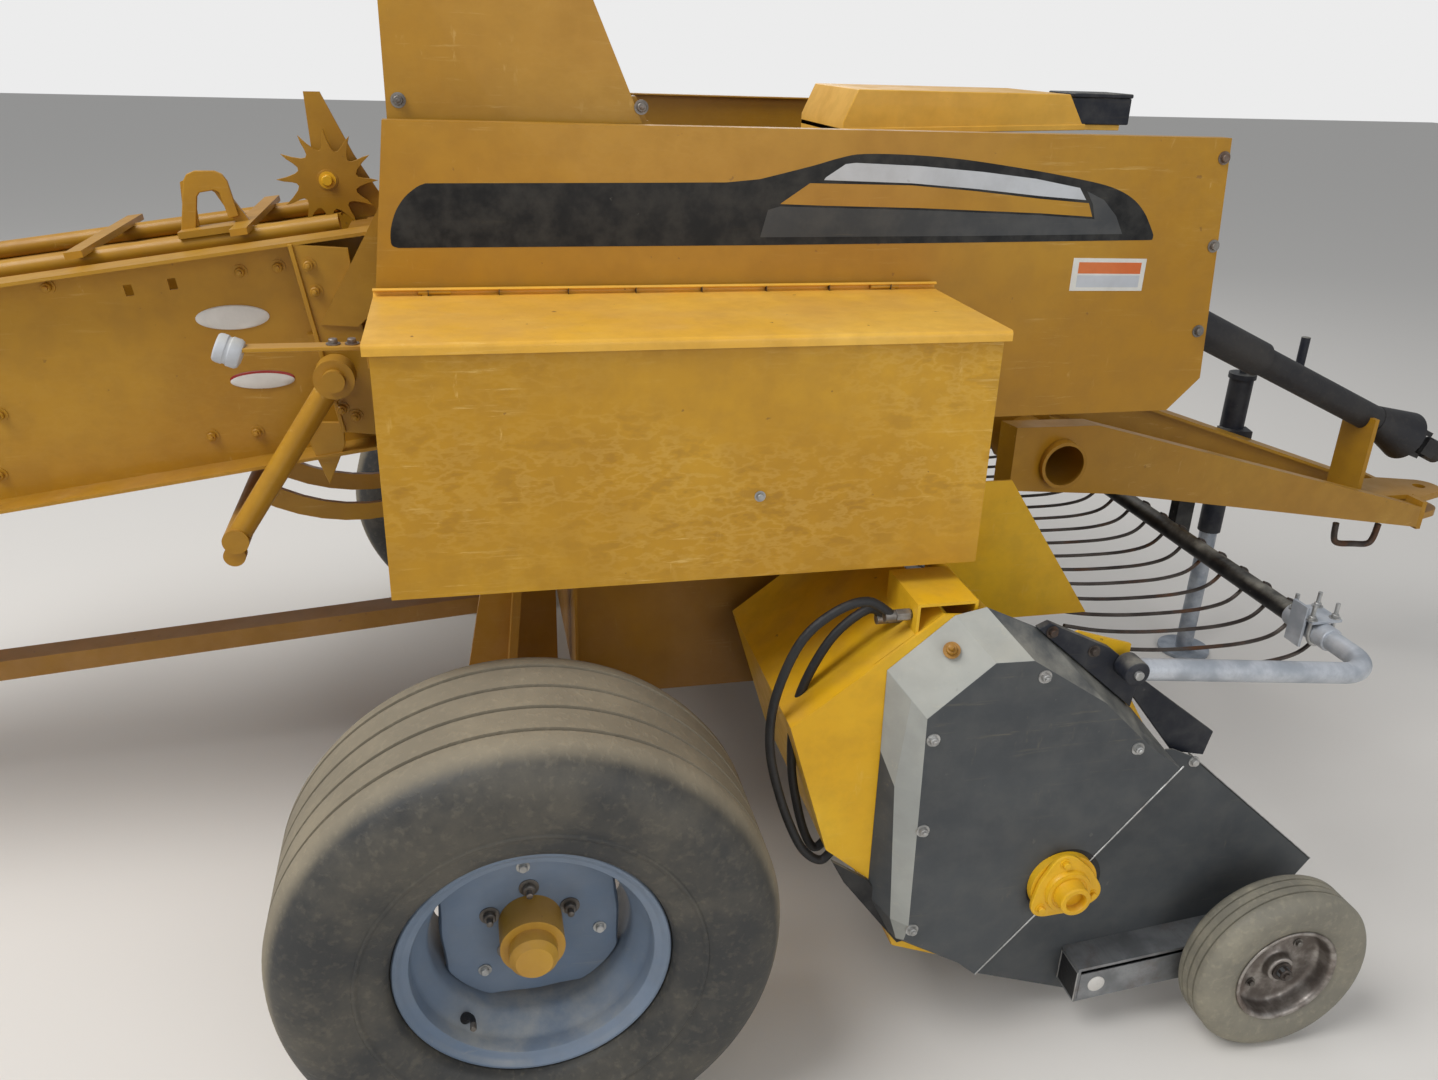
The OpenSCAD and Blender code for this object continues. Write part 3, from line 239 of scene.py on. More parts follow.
def add_side(name, side, title, shape, finish, body, bevel=0.0, smooth=True, replaces=None):
    """A piece named for its side, its shape given for the left. It may replace a node of its side."""
    nodes = [f"{replaces}_{name}"] if replaces else ()
    return add_piece(f"{title}_{name}", mirrored(shape, side), finish, body, bevel, smooth, nodes)


def bolt_shape(size, thread=0.0):
    """A washer, a chamfered hexagon head and a thread's end, as rings stacked along +Z from the origin."""
    count = 18
    ring = np.linspace(0, 2 * np.pi, count, endpoint=False)
    hexagon = size / np.cos((ring + np.pi / 6) % (np.pi / 3) - np.pi / 6)
    washer, top = size * 0.28, size * 1.32
    rows = [(size * 1.65, 0.0), (size * 1.65, washer), (hexagon * 0.96, washer), (hexagon, size * 0.36),
            (hexagon, size * 1.15), (size * 0.88, top)]
    if thread:
        rows += [(size * 0.55, top), (size * 0.55, top + thread), (size * 0.42, size * 1.4 + thread)]
    points = [np.column_stack([radius * np.cos(ring), radius * np.sin(ring), np.full(count, height)])
              for radius, height in rows]
    return np.concatenate(points), capped_faces(len(rows), count)


def bolts(places, size, thread=0.0):
    """One mesh of bolts. Each place is (x, y, z, axis), and the head stands along the axis."""
    base, faces = bolt_shape(size, thread)
    shapes = []
    for x, y, z, axis in places:
        turn = np.array(Vector(axis).to_track_quat("Z", "Y").to_matrix())
        shapes.append((base @ turn.T + np.array([x, y, z]), faces))
    return joined(shapes)


# Shader node groups and finishes


def new_node(tree, kind, **values):
    """A node with its properties set by name."""
    node = tree.nodes.new(kind)
    for key, value in values.items():
        setattr(node, key, value)
    return node


def set_inputs(tree, node, values):
    """Links or sets a node's inputs, given by name or number, each from a socket or to a plain value."""
    for key, value in values.items():
        socket = node.inputs[key]
        if isinstance(value, bpy.types.NodeSocket):
            tree.links.new(value, socket)
        else:
            socket.default_value = value
    return node


def number(tree, operation, first, second=0.0, clamp=False):
    """The output of a math node, whose values are sockets or plain numbers."""
    node = new_node(tree, "ShaderNodeMath", operation=operation, use_clamp=clamp)
    return set_inputs(tree, node, {0: first, 1: second}).outputs[0]


class Effect:
    """A shader node group that puts out a colour, a roughness and a height for each place on a piece."""

    def __init__(self, name, **inputs):
        """Each input's default is a colour of four values, a vector of three, or a number."""
        self.tree = bpy.data.node_groups.new(name, "ShaderNodeTree")
        kinds = {1: "NodeSocketFloat", 3: "NodeSocketVector", 4: "NodeSocketColor"}
        add = self.tree.interface.new_socket
        for title, default in inputs.items():
            socket = add(name=title.replace("_", " "), in_out="INPUT", socket_type=kinds[np.size(default)])
            socket.default_value = default
        for title, size in (("Color", 4), ("Roughness", 1), ("Height", 1)):
            add(name=title, in_out="OUTPUT", socket_type=kinds[size])
        self.given = self.tree.nodes.new("NodeGroupInput").outputs
        self.place = self.tree.nodes.new("ShaderNodeTexCoord").outputs["Object"]

    def mix(self, factor, low, high):
        """A colour between two, whose factor and colours are sockets or plain values."""
        node = new_node(self.tree, "ShaderNodeMix", data_type="RGBA")
        return set_inputs(self.tree, node, {0: factor, 6: low, 7: high}).outputs[2]

    def plus(self, first, second, clamp=False):
        """A sum, held between 0 and 1 if clamped, as are the next two."""
        return number(self.tree, "ADD", first, second, clamp)

    def minus(self, first, second, clamp=False):
        """A difference."""
        return number(self.tree, "SUBTRACT", first, second, clamp)

    def times(self, first, second, clamp=False):
        """A product."""
        return number(self.tree, "MULTIPLY", first, second, clamp)

    def spread(self, value, low, high):
        """A value mapped smoothly from low..high to 0..1 and held there outside."""
        node = new_node(self.tree, "ShaderNodeMapRange", interpolation_type="SMOOTHSTEP")
        return set_inputs(self.tree, node, {0: value, 1: low, 2: high}).outputs[0]

    def stretched(self, scale):
        """The place, its axes scaled one by one."""
        node = self.tree.nodes.new("ShaderNodeMapping")
        return set_inputs(self.tree, node, {"Vector": self.place, "Scale": scale}).outputs[0]

    def noise(self, scale, detail=4.0, roughness=0.55, stretch=None):
        """The grey of a noise texture at the place, which may be stretched first."""
        place = self.stretched(stretch) if stretch else self.place
        values = {"Vector": place, "Scale": scale, "Detail": detail, "Roughness": roughness}
        return set_inputs(self.tree, self.tree.nodes.new("ShaderNodeTexNoise"), values).outputs["Fac"]

    def upright(self, socket):
        """The third part of a vector: how high a place is, or how far a face looks up."""
        return set_inputs(self.tree, self.tree.nodes.new("ShaderNodeSeparateXYZ"), {0: socket}).outputs[2]

    def put_out(self, colour, rough, height):
        """Links the group's three outputs."""
        set_inputs(self.tree, self.tree.nodes.new("NodeGroupOutput"), {0: colour, 1: rough, 2: height})


def make_weathered_paint():
    """Paint, faded in patches, scuffed, with painted highlight and shade in ripples, and chipped, with dust
    low down and on top.
    """
    effect = Effect("Weathered Paint", Paint=(0.5, 0.3, 0.05, 1), Faded=(0.6, 0.4, 0.1, 1),
                    Chip=(0.2, 0.15, 0.1, 1), Dust=(0.45, 0.28, 0.16, 1), Scuffs=0.5, Chips=0.5,
                    Dust_Height=0.6, Top_Dust=0.42, Gloss_Roughness=0.35, Ripples=0.0)
    given, mix, times, spread, noise = effect.given, effect.mix, effect.times, effect.spread, effect.noise
    patches = spread(noise(2.1, 6.0, 0.62), 0.38, 0.66)
    fine = spread(noise(19.0, 5.0, 0.6), 0.35, 0.7)
    colour = mix(times(patches, 0.75), given["Paint"], given["Faded"])
    colour = mix(times(fine, 0.16), colour, given["Chip"])
    along = spread(noise(1.0, 7.0, 0.7, (7.0, 60.0, 95.0)), 0.57, 0.71)
    across = spread(noise(1.0, 5.0, 0.65, (55.0, 55.0, 16.0)), 0.62, 0.74)
    where = spread(noise(3.7, 3.0, 0.5), 0.42, 0.64)
    scuff = times(times(number(effect.tree, "MAXIMUM", along, across), where), given["Scuffs"])
    lighter = mix(0.45, given["Faded"], (0.85, 0.66, 0.3, 1))
    colour = mix(times(scuff, 0.55), colour, lighter)
    # Painted highlight and shade: ripple crests are lightened and the band past each crest is darkened toward
    # the chip colour, in patches. The height leaves the ripples out, so the surface stays flat
    wave = noise(1.0, 3.5, 0.55, (23.0, 23.0, 52.0))
    ripple_light_patches = times(spread(noise(1.0, 3.0, 0.5, (1.5, 1.5, 3.2)), 0.45, 0.66), given["Ripples"])
    crest = times(spread(wave, 0.44, 0.5), effect.minus(1.0, spread(wave, 0.52, 0.57)))
    colour = mix(times(times(crest, ripple_light_patches), 0.2), colour, lighter)
    colour = mix(times(times(spread(wave, 0.57, 0.66), ripple_light_patches), 0.22), colour, given["Chip"])
    specks = times(spread(noise(46.0, 3.0, 0.5), 0.735, 0.765), given["Chips"], clamp=True)
    colour = mix(specks, colour, given["Chip"])
    height = number(effect.tree, "DIVIDE", effect.upright(effect.place), given["Dust Height"])
    low = effect.minus(1.0, height, clamp=True)
    normal = effect.tree.nodes.new("ShaderNodeNewGeometry").outputs["Normal"]
    flat = times(spread(effect.upright(normal), 0.3, 0.9), given["Top Dust"])
    dust = times(effect.plus(low, flat), spread(noise(7.5, 7.0, 0.66), 0.34, 0.7), clamp=True)
    rough = effect.plus(given["Gloss Roughness"], times(dust, 0.4))
    rough = effect.plus(effect.plus(rough, times(fine, 0.1)), times(scuff, 0.16), clamp=True)
    relief = effect.minus(effect.minus(times(patches, 0.4), specks), times(scuff, 0.2))
    effect.put_out(mix(times(dust, 0.6), colour, given["Dust"]), rough, relief)


def make_worn_metal():
    """Bare or zinc-coated steel: cloudy spangle, fine scratches, and brown stain in patches."""
    effect = Effect("Worn Metal", Bright=(0.5, 0.52, 0.55, 1), Dull=(0.3, 0.32, 0.35, 1),
                    Stain=(0.2, 0.11, 0.06, 1), Stains=0.4, Cloud_Scale=30.0)
    given, mix, times, spread, noise = effect.given, effect.mix, effect.times, effect.spread, effect.noise
    cloud = spread(noise(given["Cloud Scale"], 5.0, 0.5), 0.35, 0.66)
    scratch = spread(noise(1.0, stretch=(220.0, 24.0, 220.0)), 0.42, 0.68)
    colour = mix(cloud, given["Dull"], given["Bright"])
    colour = mix(times(scratch, 0.25), colour, given["Dull"])
    stain = times(spread(noise(11.0, 7.0, 0.68), 0.5, 0.68), given["Stains"], clamp=True)
    rough = effect.plus(effect.plus(times(cloud, -0.1), times(stain, 0.3)), 0.48, clamp=True)
    effect.put_out(mix(stain, colour, given["Stain"]), rough, effect.plus(times(scratch, 0.3), stain))


def make_dusty_rubber():
    """Black rubber with pale dust in patches and grit, thicker past a distance off the axle, on the tread."""
    effect = Effect("Dusty Rubber", Rubber=(0.02, 0.02, 0.02, 1), Dust=(0.3, 0.22, 0.16, 1), Dusting=0.5,
                    Axle=(0, 0, 0), Tread_Radius=NO_TREAD)
    given, times, spread = effect.given, effect.times, effect.spread
    film = spread(effect.noise(5.5, 7.0, 0.66), 0.36, 0.72)
    grit = spread(effect.noise(85.0, 3.0), 0.5, 0.72)
    amount = times(effect.plus(times(film, 0.7), times(grit, 0.3)), given["Dusting"])
    away = new_node(effect.tree, "ShaderNodeVectorMath", operation="DISTANCE")
    set_inputs(effect.tree, away, {0: effect.stretched((1, 0, 1)), 1: given["Axle"]})
    tread = spread(effect.minus(away.outputs["Value"], given["Tread Radius"]), -0.016, 0.002)
    amount = effect.plus(amount, times(tread, 0.75), clamp=True)
    effect.put_out(effect.mix(amount, given["Rubber"], given["Dust"]),
                   effect.plus(times(amount, 0.3), 0.56, clamp=True), effect.plus(grit, film))


def finish_from(name, group, bump, metallic=0.0, coat=0.0, specular=0.5, **values):
    """A material whose Principled shader takes its colour, roughness and bump from a shared group."""
    material = bpy.data.materials.new(name)
    material.use_nodes = True
    tree = material.node_tree
    effect = new_node(tree, "ShaderNodeGroup", node_tree=bpy.data.node_groups[group])
    set_inputs(tree, effect, {title.replace("_", " "): value for title, value in values.items()})
    relief = tree.nodes.new("ShaderNodeBump")
    set_inputs(tree, relief, {"Strength": bump, "Distance": 0.002, "Height": effect.outputs["Height"]})
    set_inputs(tree, tree.nodes["Principled BSDF"], {
        "Metallic": metallic, "Coat Weight": coat, "Specular IOR Level": specular,
        "Base Color": effect.outputs["Color"], "Roughness": effect.outputs["Roughness"],
        "Normal": relief.outputs[0],
    })


RED_DUST = linear(176, 136, 96)
PALE_DUST = linear(186, 182, 168)
# Colours are sRGB from 0 to 255. Paint, faded paint, scuffs, chips, height of the dust, and ripples of
# painted highlight and shade
PAINTS = {
    "Ochre paint": (None, (184, 138, 40), 0.8, 0.5, 0.5, 0.15),
    # Painted light: a lighter copy of the ochre for the sunlit tops of the twine box lids and the front hood
    "Sunlit ochre lid paint": ((224, 170, 60), (240, 192, 86), 0.7, 0.9, 0.3, 0.0),
    # The box paint carries the strongest painted ripple highlights and shade
    "Scuffed box paint": ((188, 138, 28), (208, 158, 40), 1.7, 0.6, 0.4, 1.0),
    # Partly painted light: a fresher yellow than the ochre, brightened further to match the sunlit facets of
    # the pickup frame. Also used on the reel bearings, auger covers and star wheel bolt
    "Bright yellow paint": ((224, 170, 24), (238, 192, 44), 0.6, 0.6, 0.3, 0.0),
    "Deep ochre paint": ((146, 102, 26), (164, 118, 38), 0.7, 0.8, 0.8, 0.0),
    "Hub yellow paint": ((178, 132, 34), (196, 152, 56), 0.6, 0.9, 0.6, 0.0),
    "Orange decal": ((210, 104, 48), (216, 124, 70), 0.3, 0.2, 0.2, 0.0),
}
# Paint, faded paint, scuffs and roughness
GREYS = {
    "Charcoal paint": ((68, 71, 74), (82, 85, 87), 0.28, 0.45),
    # Painted highlight: a pale copy of the shield paint for the back and top folds, as if sunlit
    "Lit shield fold paint": ((154, 156, 152), (180, 180, 172), 0.48, 0.5),
    "Navy black paint": ((26, 29, 38), (40, 43, 52), 0.2, 0.42),
    # Partly painted shade: silver rim paint, darkened and blued toward the shaded inside of the rim
    "Shaded silver rim paint": ((98, 114, 134), (128, 140, 156), 0.24, 0.38),
    "Black gloss paint": ((20, 20, 22), (30, 30, 32), 0.12, 0.3),
    "Black decal": ((12, 13, 15), (22, 23, 25), 0.14, 0.4),
    "Grey decal": ((58, 60, 62), (72, 74, 76), 0.14, 0.45),
    "Silver decal": ((186, 190, 196), (200, 204, 208), 0.12, 0.35),
    "White decal": ((216, 214, 206), (226, 224, 216), 0.12, 0.4),
    "Lamp white": ((214, 210, 204), (224, 221, 216), 0.08, 0.2),
    "Lamp silver": ((176, 178, 182), (196, 198, 202), 0.08, 0.25),
    "Reflector red": ((150, 30, 24), (168, 44, 34), 0.08, 0.2),
}
# Bright, dull, stains, scale of the clouds and metallic
METALS = {
    "Galvanised steel": ((172, 178, 186), (140, 148, 158), 0.12, 26.0, 0.55),
    "Bright fastener": ((196, 196, 194), (160, 160, 158), 0.25, 60.0, 0.8),
    "Worn steel": ((150, 146, 140), (104, 98, 92), 0.75, 22.0, 0.7),
    "Dark rusty steel": ((86, 78, 72), (58, 50, 46), 0.9, 18.0, 0.5),
    "Weathered galvanised band": ((150, 152, 154), (118, 120, 122), 0.35, 16.0, 0.6),
    # Partly painted light: galvanised steel whitened to its sunlit look, on the windguard's arms and clamps
    "Sunlit galvanised tube": ((196, 200, 206), (160, 166, 174), 0.1, 20.0, 0.35),
    "Polished rim steel": ((176, 170, 164), (116, 108, 102), 0.35, 30.0, 0.85),
}
# Rubber, dust, how dusty and from which radius the tread's dust lies
RUBBERS = {
    "Tyre rubber": ((46, 47, 47), (144, 134, 114), 0.38, 0.386),
    "Gauge tyre rubber": ((118, 114, 102), (172, 164, 142), 0.7, NO_TREAD),
    "Hose rubber": ((24, 24, 26), (86, 80, 70), 0.2, NO_TREAD),
    "Shaft guard plastic": ((30, 30, 34), (94, 88, 78), 0.3, NO_TREAD),
}
# The nodes of each finish, where a star stands for right and left. All others are ochre
NODE_FINISHES = {
    "Sunlit ochre lid paint": "twine_lid_*",
    "Scuffed box paint": "twine_box_*",
    # The pickup frame takes the yellow brightened as painted light
    "Bright yellow paint": "pickup_frame",
    "Deep ochre paint": "axle_beam axle_stands feeder_housing pull_beam chamber_floor chamber_roof",
    "Hub yellow paint": "hub_*",
    "Charcoal paint": "end_shield_* front_skirt_* flywheel",
    "Navy black paint": "guard_brackets jack_tube",
    "Shaded silver rim paint": "rim_*",
    "Black gloss paint": "reel",
    "Lamp silver": "lamp_*",
    "Galvanised steel": "windguard jack_leg",
    "Weathered galvanised band": "strippers gauge_arm_*",
    "Worn steel": "plunger auger gauge_rim_* knotters",
    "Tyre rubber": "tyre_*",
    "Gauge tyre rubber": "gauge_tyre_*",
    "Hose rubber": "pickup_hoses",
    "Shaft guard plastic": "driveline",
}


def make_finishes(settings):
    """Every finish of the machine by name."""
    make_weathered_paint()
    make_worn_metal()
    make_dusty_rubber()
    for name, (paint, faded, scuffs, chips, height, ripples) in PAINTS.items():
        finish_from(name, "Weathered Paint", 0.12, coat=0.06, specular=0.32, Chip=linear(118, 82, 40),
                    Dust=RED_DUST, Paint=linear(*paint) if paint else (*settings.paint, 1),
                    Faded=linear(*faded), Scuffs=scuffs, Chips=chips, Dust_Height=height, Ripples=ripples)
    for name, (paint, faded, scuffs, rough) in GREYS.items():
        finish_from(name, "Weathered Paint", 0.08, specular=0.25, Chip=linear(120, 118, 112), Dust=PALE_DUST,
                    Paint=linear(*paint), Faded=linear(*faded), Scuffs=scuffs, Chips=0.25, Dust_Height=0.12,
                    Top_Dust=0.9, Gloss_Roughness=rough)
    for name, (bright, dull, stains, clouds, metallic) in METALS.items():
        finish_from(name, "Worn Metal", 0.15, metallic=metallic, Bright=linear(*bright), Dull=linear(*dull),
                    Stain=linear(104, 70, 46), Stains=stains, Cloud_Scale=clouds)
    for name, (rubber, dust, dusting, tread) in RUBBERS.items():
        finish_from(name, "Dusty Rubber", 0.25, Rubber=linear(*rubber), Dust=linear(*dust), Dusting=dusting,
                    Axle=(AXLE_X, 0, TYRE_R), Tread_Radius=tread)


class BalerSizes(bpy.types.PropertyGroup):
    """Sizes and colours of the dressed machine."""

    paint: bpy.props.FloatVectorProperty(
        name="Paint", description="Colour of the main paint, unfaded", subtype="COLOR", size=3, min=0, max=1,
        default=linear(170, 122, 28)[:3])
    key_power: bpy.props.FloatProperty(
        name="Key light", description="Power of the large soft light above the machine",
        unit="POWER", default=285.0)
    fill_power: bpy.props.FloatProperty(
        name="Fill light", description="Power of the soft light beside the camera",
        unit="POWER", default=85.0)
    groove_depth: bpy.props.FloatProperty(
        name="Groove depth", description="Depth of the grooves round a main tyre",
        unit="LENGTH", default=0.011)
    groove_width: bpy.props.FloatProperty(
        name="Groove width", description="Width of the grooves round a main tyre",
        unit="LENGTH", default=0.009)
    bolt_size: bpy.props.FloatProperty(
        name="Bolt size", description="Half the width over flats of the panels' bolts",
        unit="LENGTH", default=0.007)


class OBJECT_OT_baler_finishes(bpy.types.Operator):
    """Make every finish and give each piece of the frame its own"""

    bl_idname = "object.baler_finishes"
    bl_label = "Finishes"

    def execute(self, context):
        make_finishes(context.scene.baler_sizes)
        finish_of = {node.replace("*", name): finish for finish, nodes in NODE_FINISHES.items()
                     for node in nodes.split() for name in SIDES}
        for node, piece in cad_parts.items():
            material = bpy.data.materials[finish_of.get(node, "Ochre paint")]
            piece.data.materials.clear()
            piece.data.materials.append(material)
        return {"FINISHED"}


def wheel_centre(side=1):
    """The middle of a main wheel, on the left unless a side is given."""
    return AXLE_X, side * WHEEL_Y, TYRE_R


def gauge_centre(side=1):
    """The middle of a gauge wheel, on the left unless a side is given."""
    return GAUGE_X, side * GAUGE_Y, GAUGE_R


def both_halves(points):
    """Half a section, as (radius, distance outward), followed by its mirror image inward, in reverse."""
    half = np.asarray(points, float)
    return np.concatenate([half, half[::-1] * (1, -1)])


def grooved(radius, edge, places, width, depth):
    """A tread across a tyre: level, with a groove at each place whose edges slope to a flat floor."""
    rows = [(radius, edge)]
    for place in sorted(places, reverse=True):
        out, low = width / 2, radius - depth
        rows += [(radius, place + out), (radius - depth * 0.3, place + out * 0.86), (low, place + out * 0.5),
                 (low, place - out * 0.5), (radius - depth * 0.3, place - out * 0.86), (radius, place - out)]
    rows.append((radius, -edge))
    return rows


def tyre_section(settings):
    """A main tyre's closed section: bead, rim guard, bulging sidewall, round shoulder and grooved tread."""
    wall = smooth_path([
        (0.2125, 0.138), (0.218, 0.148), (0.233, 0.156), (0.252, 0.1605), (0.2575, 0.1645), (0.262, 0.1655),
        (0.2665, 0.1635), (0.285, 0.1682), (0.306, 0.1708), (0.326, 0.17), (0.345, 0.165), (0.36, 0.157),
        (0.3725, 0.146), (0.3815, 0.132), (0.3868, 0.118),
    ], 3)
    bead = np.array([(0.1912, 0.103), (0.1912, 0.1262), (0.2105, 0.1266)])
    half = np.concatenate([bead, wall])
    tread = grooved(TYRE_R, 0.106, (-0.09, -0.03, 0.03, 0.09), settings.groove_width, settings.groove_depth)
    inside = np.array([(0.197, -0.112), (0.252, -0.15), (0.33, -0.15), (0.366, -0.11), (0.37, 0.0),
                       (0.366, 0.11), (0.33, 0.15), (0.252, 0.15), (0.197, 0.112)])
    return np.concatenate([half, tread, half[::-1] * (1, -1), inside])


# Half of a rim's section on its face and on its back, as (radius, distance outward)
RIM_FACE = [
    (0.209, 0.1276), (0.2098, 0.13), (0.2094, 0.1326), (0.2075, 0.1346), (0.204, 0.135), (0.2008, 0.1332),
    (0.1978, 0.13), (0.1935, 0.1272), (0.1885, 0.1258), (0.1848, 0.1236), (0.1834, 0.119), (0.183, 0.101),
    (0.182, 0.0962), (0.1788, 0.0908), (0.17, 0.08), (0.1612, 0.069), (0.1582, 0.063), (0.1573, 0.056),
]
RIM_BACK = [(0.1645, 0.06), (0.1905, 0.093), (0.1905, 0.123), (0.1925, 0.1262)]
DISC_OUT = 0.035


def disc_shape(centre):
    """A left wheel's disc as rings about its axle: dished, its rolled edge cut off flat on four sides."""
    count = 96
    angle = np.linspace(0, 2 * np.pi, count, endpoint=False)
    turn = (angle - math.radians(2) + np.pi / 4) % (np.pi / 2) - np.pi / 4
    edge = np.minimum(0.1572, 0.1375 / np.cos(turn) + 0.004 * np.exp(-(turn / 0.25) ** 2))
    rows = [
        (0.049, -0.008), (0.049, 0.0), (0.062, 0.0), (0.08, 0.0005), (0.092, 0.0035), (0.108, 0.006),
        (edge - 0.013, 0.0068), (edge - 0.005, 0.0052), (edge - 0.001, -0.001), (edge, -0.012),
        (edge - 0.006, -0.012), (edge - 0.008, -0.003), (edge - 0.016, 0.0), (0.092, -0.004), (0.062, -0.008),
    ]
    points = np.stack([np.column_stack([
        centre[0] + radius * np.cos(angle), np.full(count, centre[1] + (DISC_OUT + out)),
        centre[2] + radius * np.sin(angle),
    ]) for radius, out in rows], 1)
    return points.reshape(-1, 3), grid_faces(count, len(rows), True, True)


def round_places(centre, radius, angles, out, side):
    """Places for bolts on a circle about an axle, their heads pointing outward."""
    x, y, z = centre
    return [(x + radius * math.cos(a), y + side * out, z + radius * math.sin(a), (0, side, 0))
            for a in np.radians(angles)]


# Half of a gauge tyre's section, from the bead up to the tread
GAUGE_WALL = [
    (0.0935, 0.029), (0.095, 0.0375), (0.1, 0.039), (0.108, 0.0404), (0.112, 0.0428), (0.1165, 0.0436),
    (0.129, 0.045), (0.14, 0.0455), (0.15, 0.044), (0.1585, 0.04), (0.1645, 0.035), (0.1682, 0.0305),
]


class OBJECT_OT_baler_tyres(bpy.types.Operator):
    """Make the ribbed main tyres and the small solid gauge tyres"""

    bl_idname = "object.baler_tyres"
    bl_label = "Tyres"

    def execute(self, context):
        settings = context.scene.baler_sizes
        wall = both_halves(GAUGE_WALL)
        half = len(GAUGE_WALL)
        tread = grooved(GAUGE_R, 0.0275, (-0.0165, 0, 0.0165), 0.0042, 0.0032)
        small = np.concatenate([wall[:half], tread, wall[half:]])
        for name, side in SIDES.items():
            add_side(name, side, "Main_tyre", turned(tyre_section(settings), wheel_centre(), 144),
                     "Tyre rubber", f"wheel_{name}", replaces="tyre")
            add_side(name, side, "Gauge_tyre", turned(small, gauge_centre(), 112),
                     "Gauge tyre rubber", f"gauge_{name}", replaces="gauge_tyre")
        return {"FINISHED"}


class OBJECT_OT_baler_rims(bpy.types.Operator):
    """Make the main wheels' deep rims with their discs, nuts and valves"""

    bl_idname = "object.baler_rims"
    bl_label = "Rims"

    def execute(self, context):
        barrel = np.concatenate([both_halves(RIM_FACE), both_halves(RIM_BACK)[::-1]])
        for name, side in SIDES.items():
            centre = wheel_centre(side)
            body = f"wheel_{name}"
            shape = joined([turned(barrel, wheel_centre(), 128), disc_shape(wheel_centre())])
            # The rim takes the silver paint that is darkened as painted shade
            add_side(name, side, "Rim", shape, "Shaded silver rim paint", body, replaces="rim")
            nuts = round_places(centre, 0.066, np.arange(5) * 72 + 18, DISC_OUT, side)
            add_piece(f"Wheel_nuts_{name}", bolts(nuts, 0.0095, 0.01), "Worn steel", body)
            studs = round_places(centre, 0.112, (-132, -13, 94), DISC_OUT + 0.006, side)
            add_piece(f"Disc_bolts_{name}", bolts(studs, 0.0065), "Bright fastener", body)
            self.valve(name, centre, side, body)
        return {"FINISHED"}

    def valve(self, name, centre, side, body):
        """A valve: a rubber stem that bends outward from the rim's slope, with a cap."""
        angle = math.radians(-129)
        rows = [(0.176, 0.084), (0.17, 0.0875), (0.164, 0.091),
                (0.158, 0.098), (0.155, 0.106), (0.154, 0.114)]
        path = [(centre[0] + r * math.cos(angle), centre[1] + side * out, centre[2] + r * math.sin(angle))
                for r, out in rows]
        thick = [0.009, 0.0088, 0.006, 0.0048, 0.0046, 0.0046]
        add_piece(f"Valve_{name}", tube(path, thick, 16), "Hose rubber", body, bevel=0.001)
        cap = [(0.0035, 0), (0.0052, 0.001), (0.0052, 0.01), (0.004, 0.012)]
        add_piece(f"Valve_cap_{name}", capped_turn(cap, path[-1], (0, side, 0), 16), "Worn steel", body)


# A gauge wheel's section on the outside, from the rim in to the axle, and back out on the inside
GAUGE_FRONT = [
    (0.0985, 0.0385), (0.0998, 0.0405), (0.0982, 0.0425), (0.0945, 0.042), (0.0905, 0.0385),
    (0.0885, 0.031), (0.087, 0.015), (0.082, 0.0085), (0.07, 0.0062), (0.048, 0.0048), (0.036, 0.0062),
    (0.029, 0.009), (0.0268, 0.013), (0.0262, 0.022), (0.024, 0.0252), (0.018, 0.026),
]
GAUGE_BACK = [
    (0.0122, 0.026), (0.0122, -0.04), (0.027, -0.04), (0.029, 0.001), (0.07, 0.0022), (0.079, 0.004),
    (0.0832, -0.01), (0.0845, -0.029), (0.087, -0.0335), (0.0905, -0.0345), (0.0922, -0.0322),
    (0.0912, -0.0295), (0.089, -0.026), (0.0905, 0.029), (0.0945, 0.037),
]


class OBJECT_OT_baler_gauge_rims(bpy.types.Operator):
    """Make the gauge wheels' rims with their hubs and nuts"""

    bl_idname = "object.baler_gauge_rims"
    bl_label = "Gauge wheel rims"

    def execute(self, context):
        section = np.concatenate([smooth_path(GAUGE_FRONT, 3), GAUGE_BACK])
        for name, side in SIDES.items():
            centre = gauge_centre(side)
            body = f"gauge_{name}"
            add_side(name, side, "Gauge_rim", turned(section, gauge_centre(), 96), "Polished rim steel", body,
                     replaces="gauge_rim")
            places = round_places(centre, 0.056, np.arange(4) * 90 + 45, 0.0055, side)
            add_piece(f"Gauge_rim_bolts_{name}", bolts(places, 0.0055), "Worn steel", body)
            nut = [(centre[0], centre[1] + side * 0.0262, centre[2], (0, side, 0))]
            add_piece(f"Gauge_axle_nut_{name}", bolts(nut, 0.0115, 0.003), "Dark rusty steel", body)
        return {"FINISHED"}


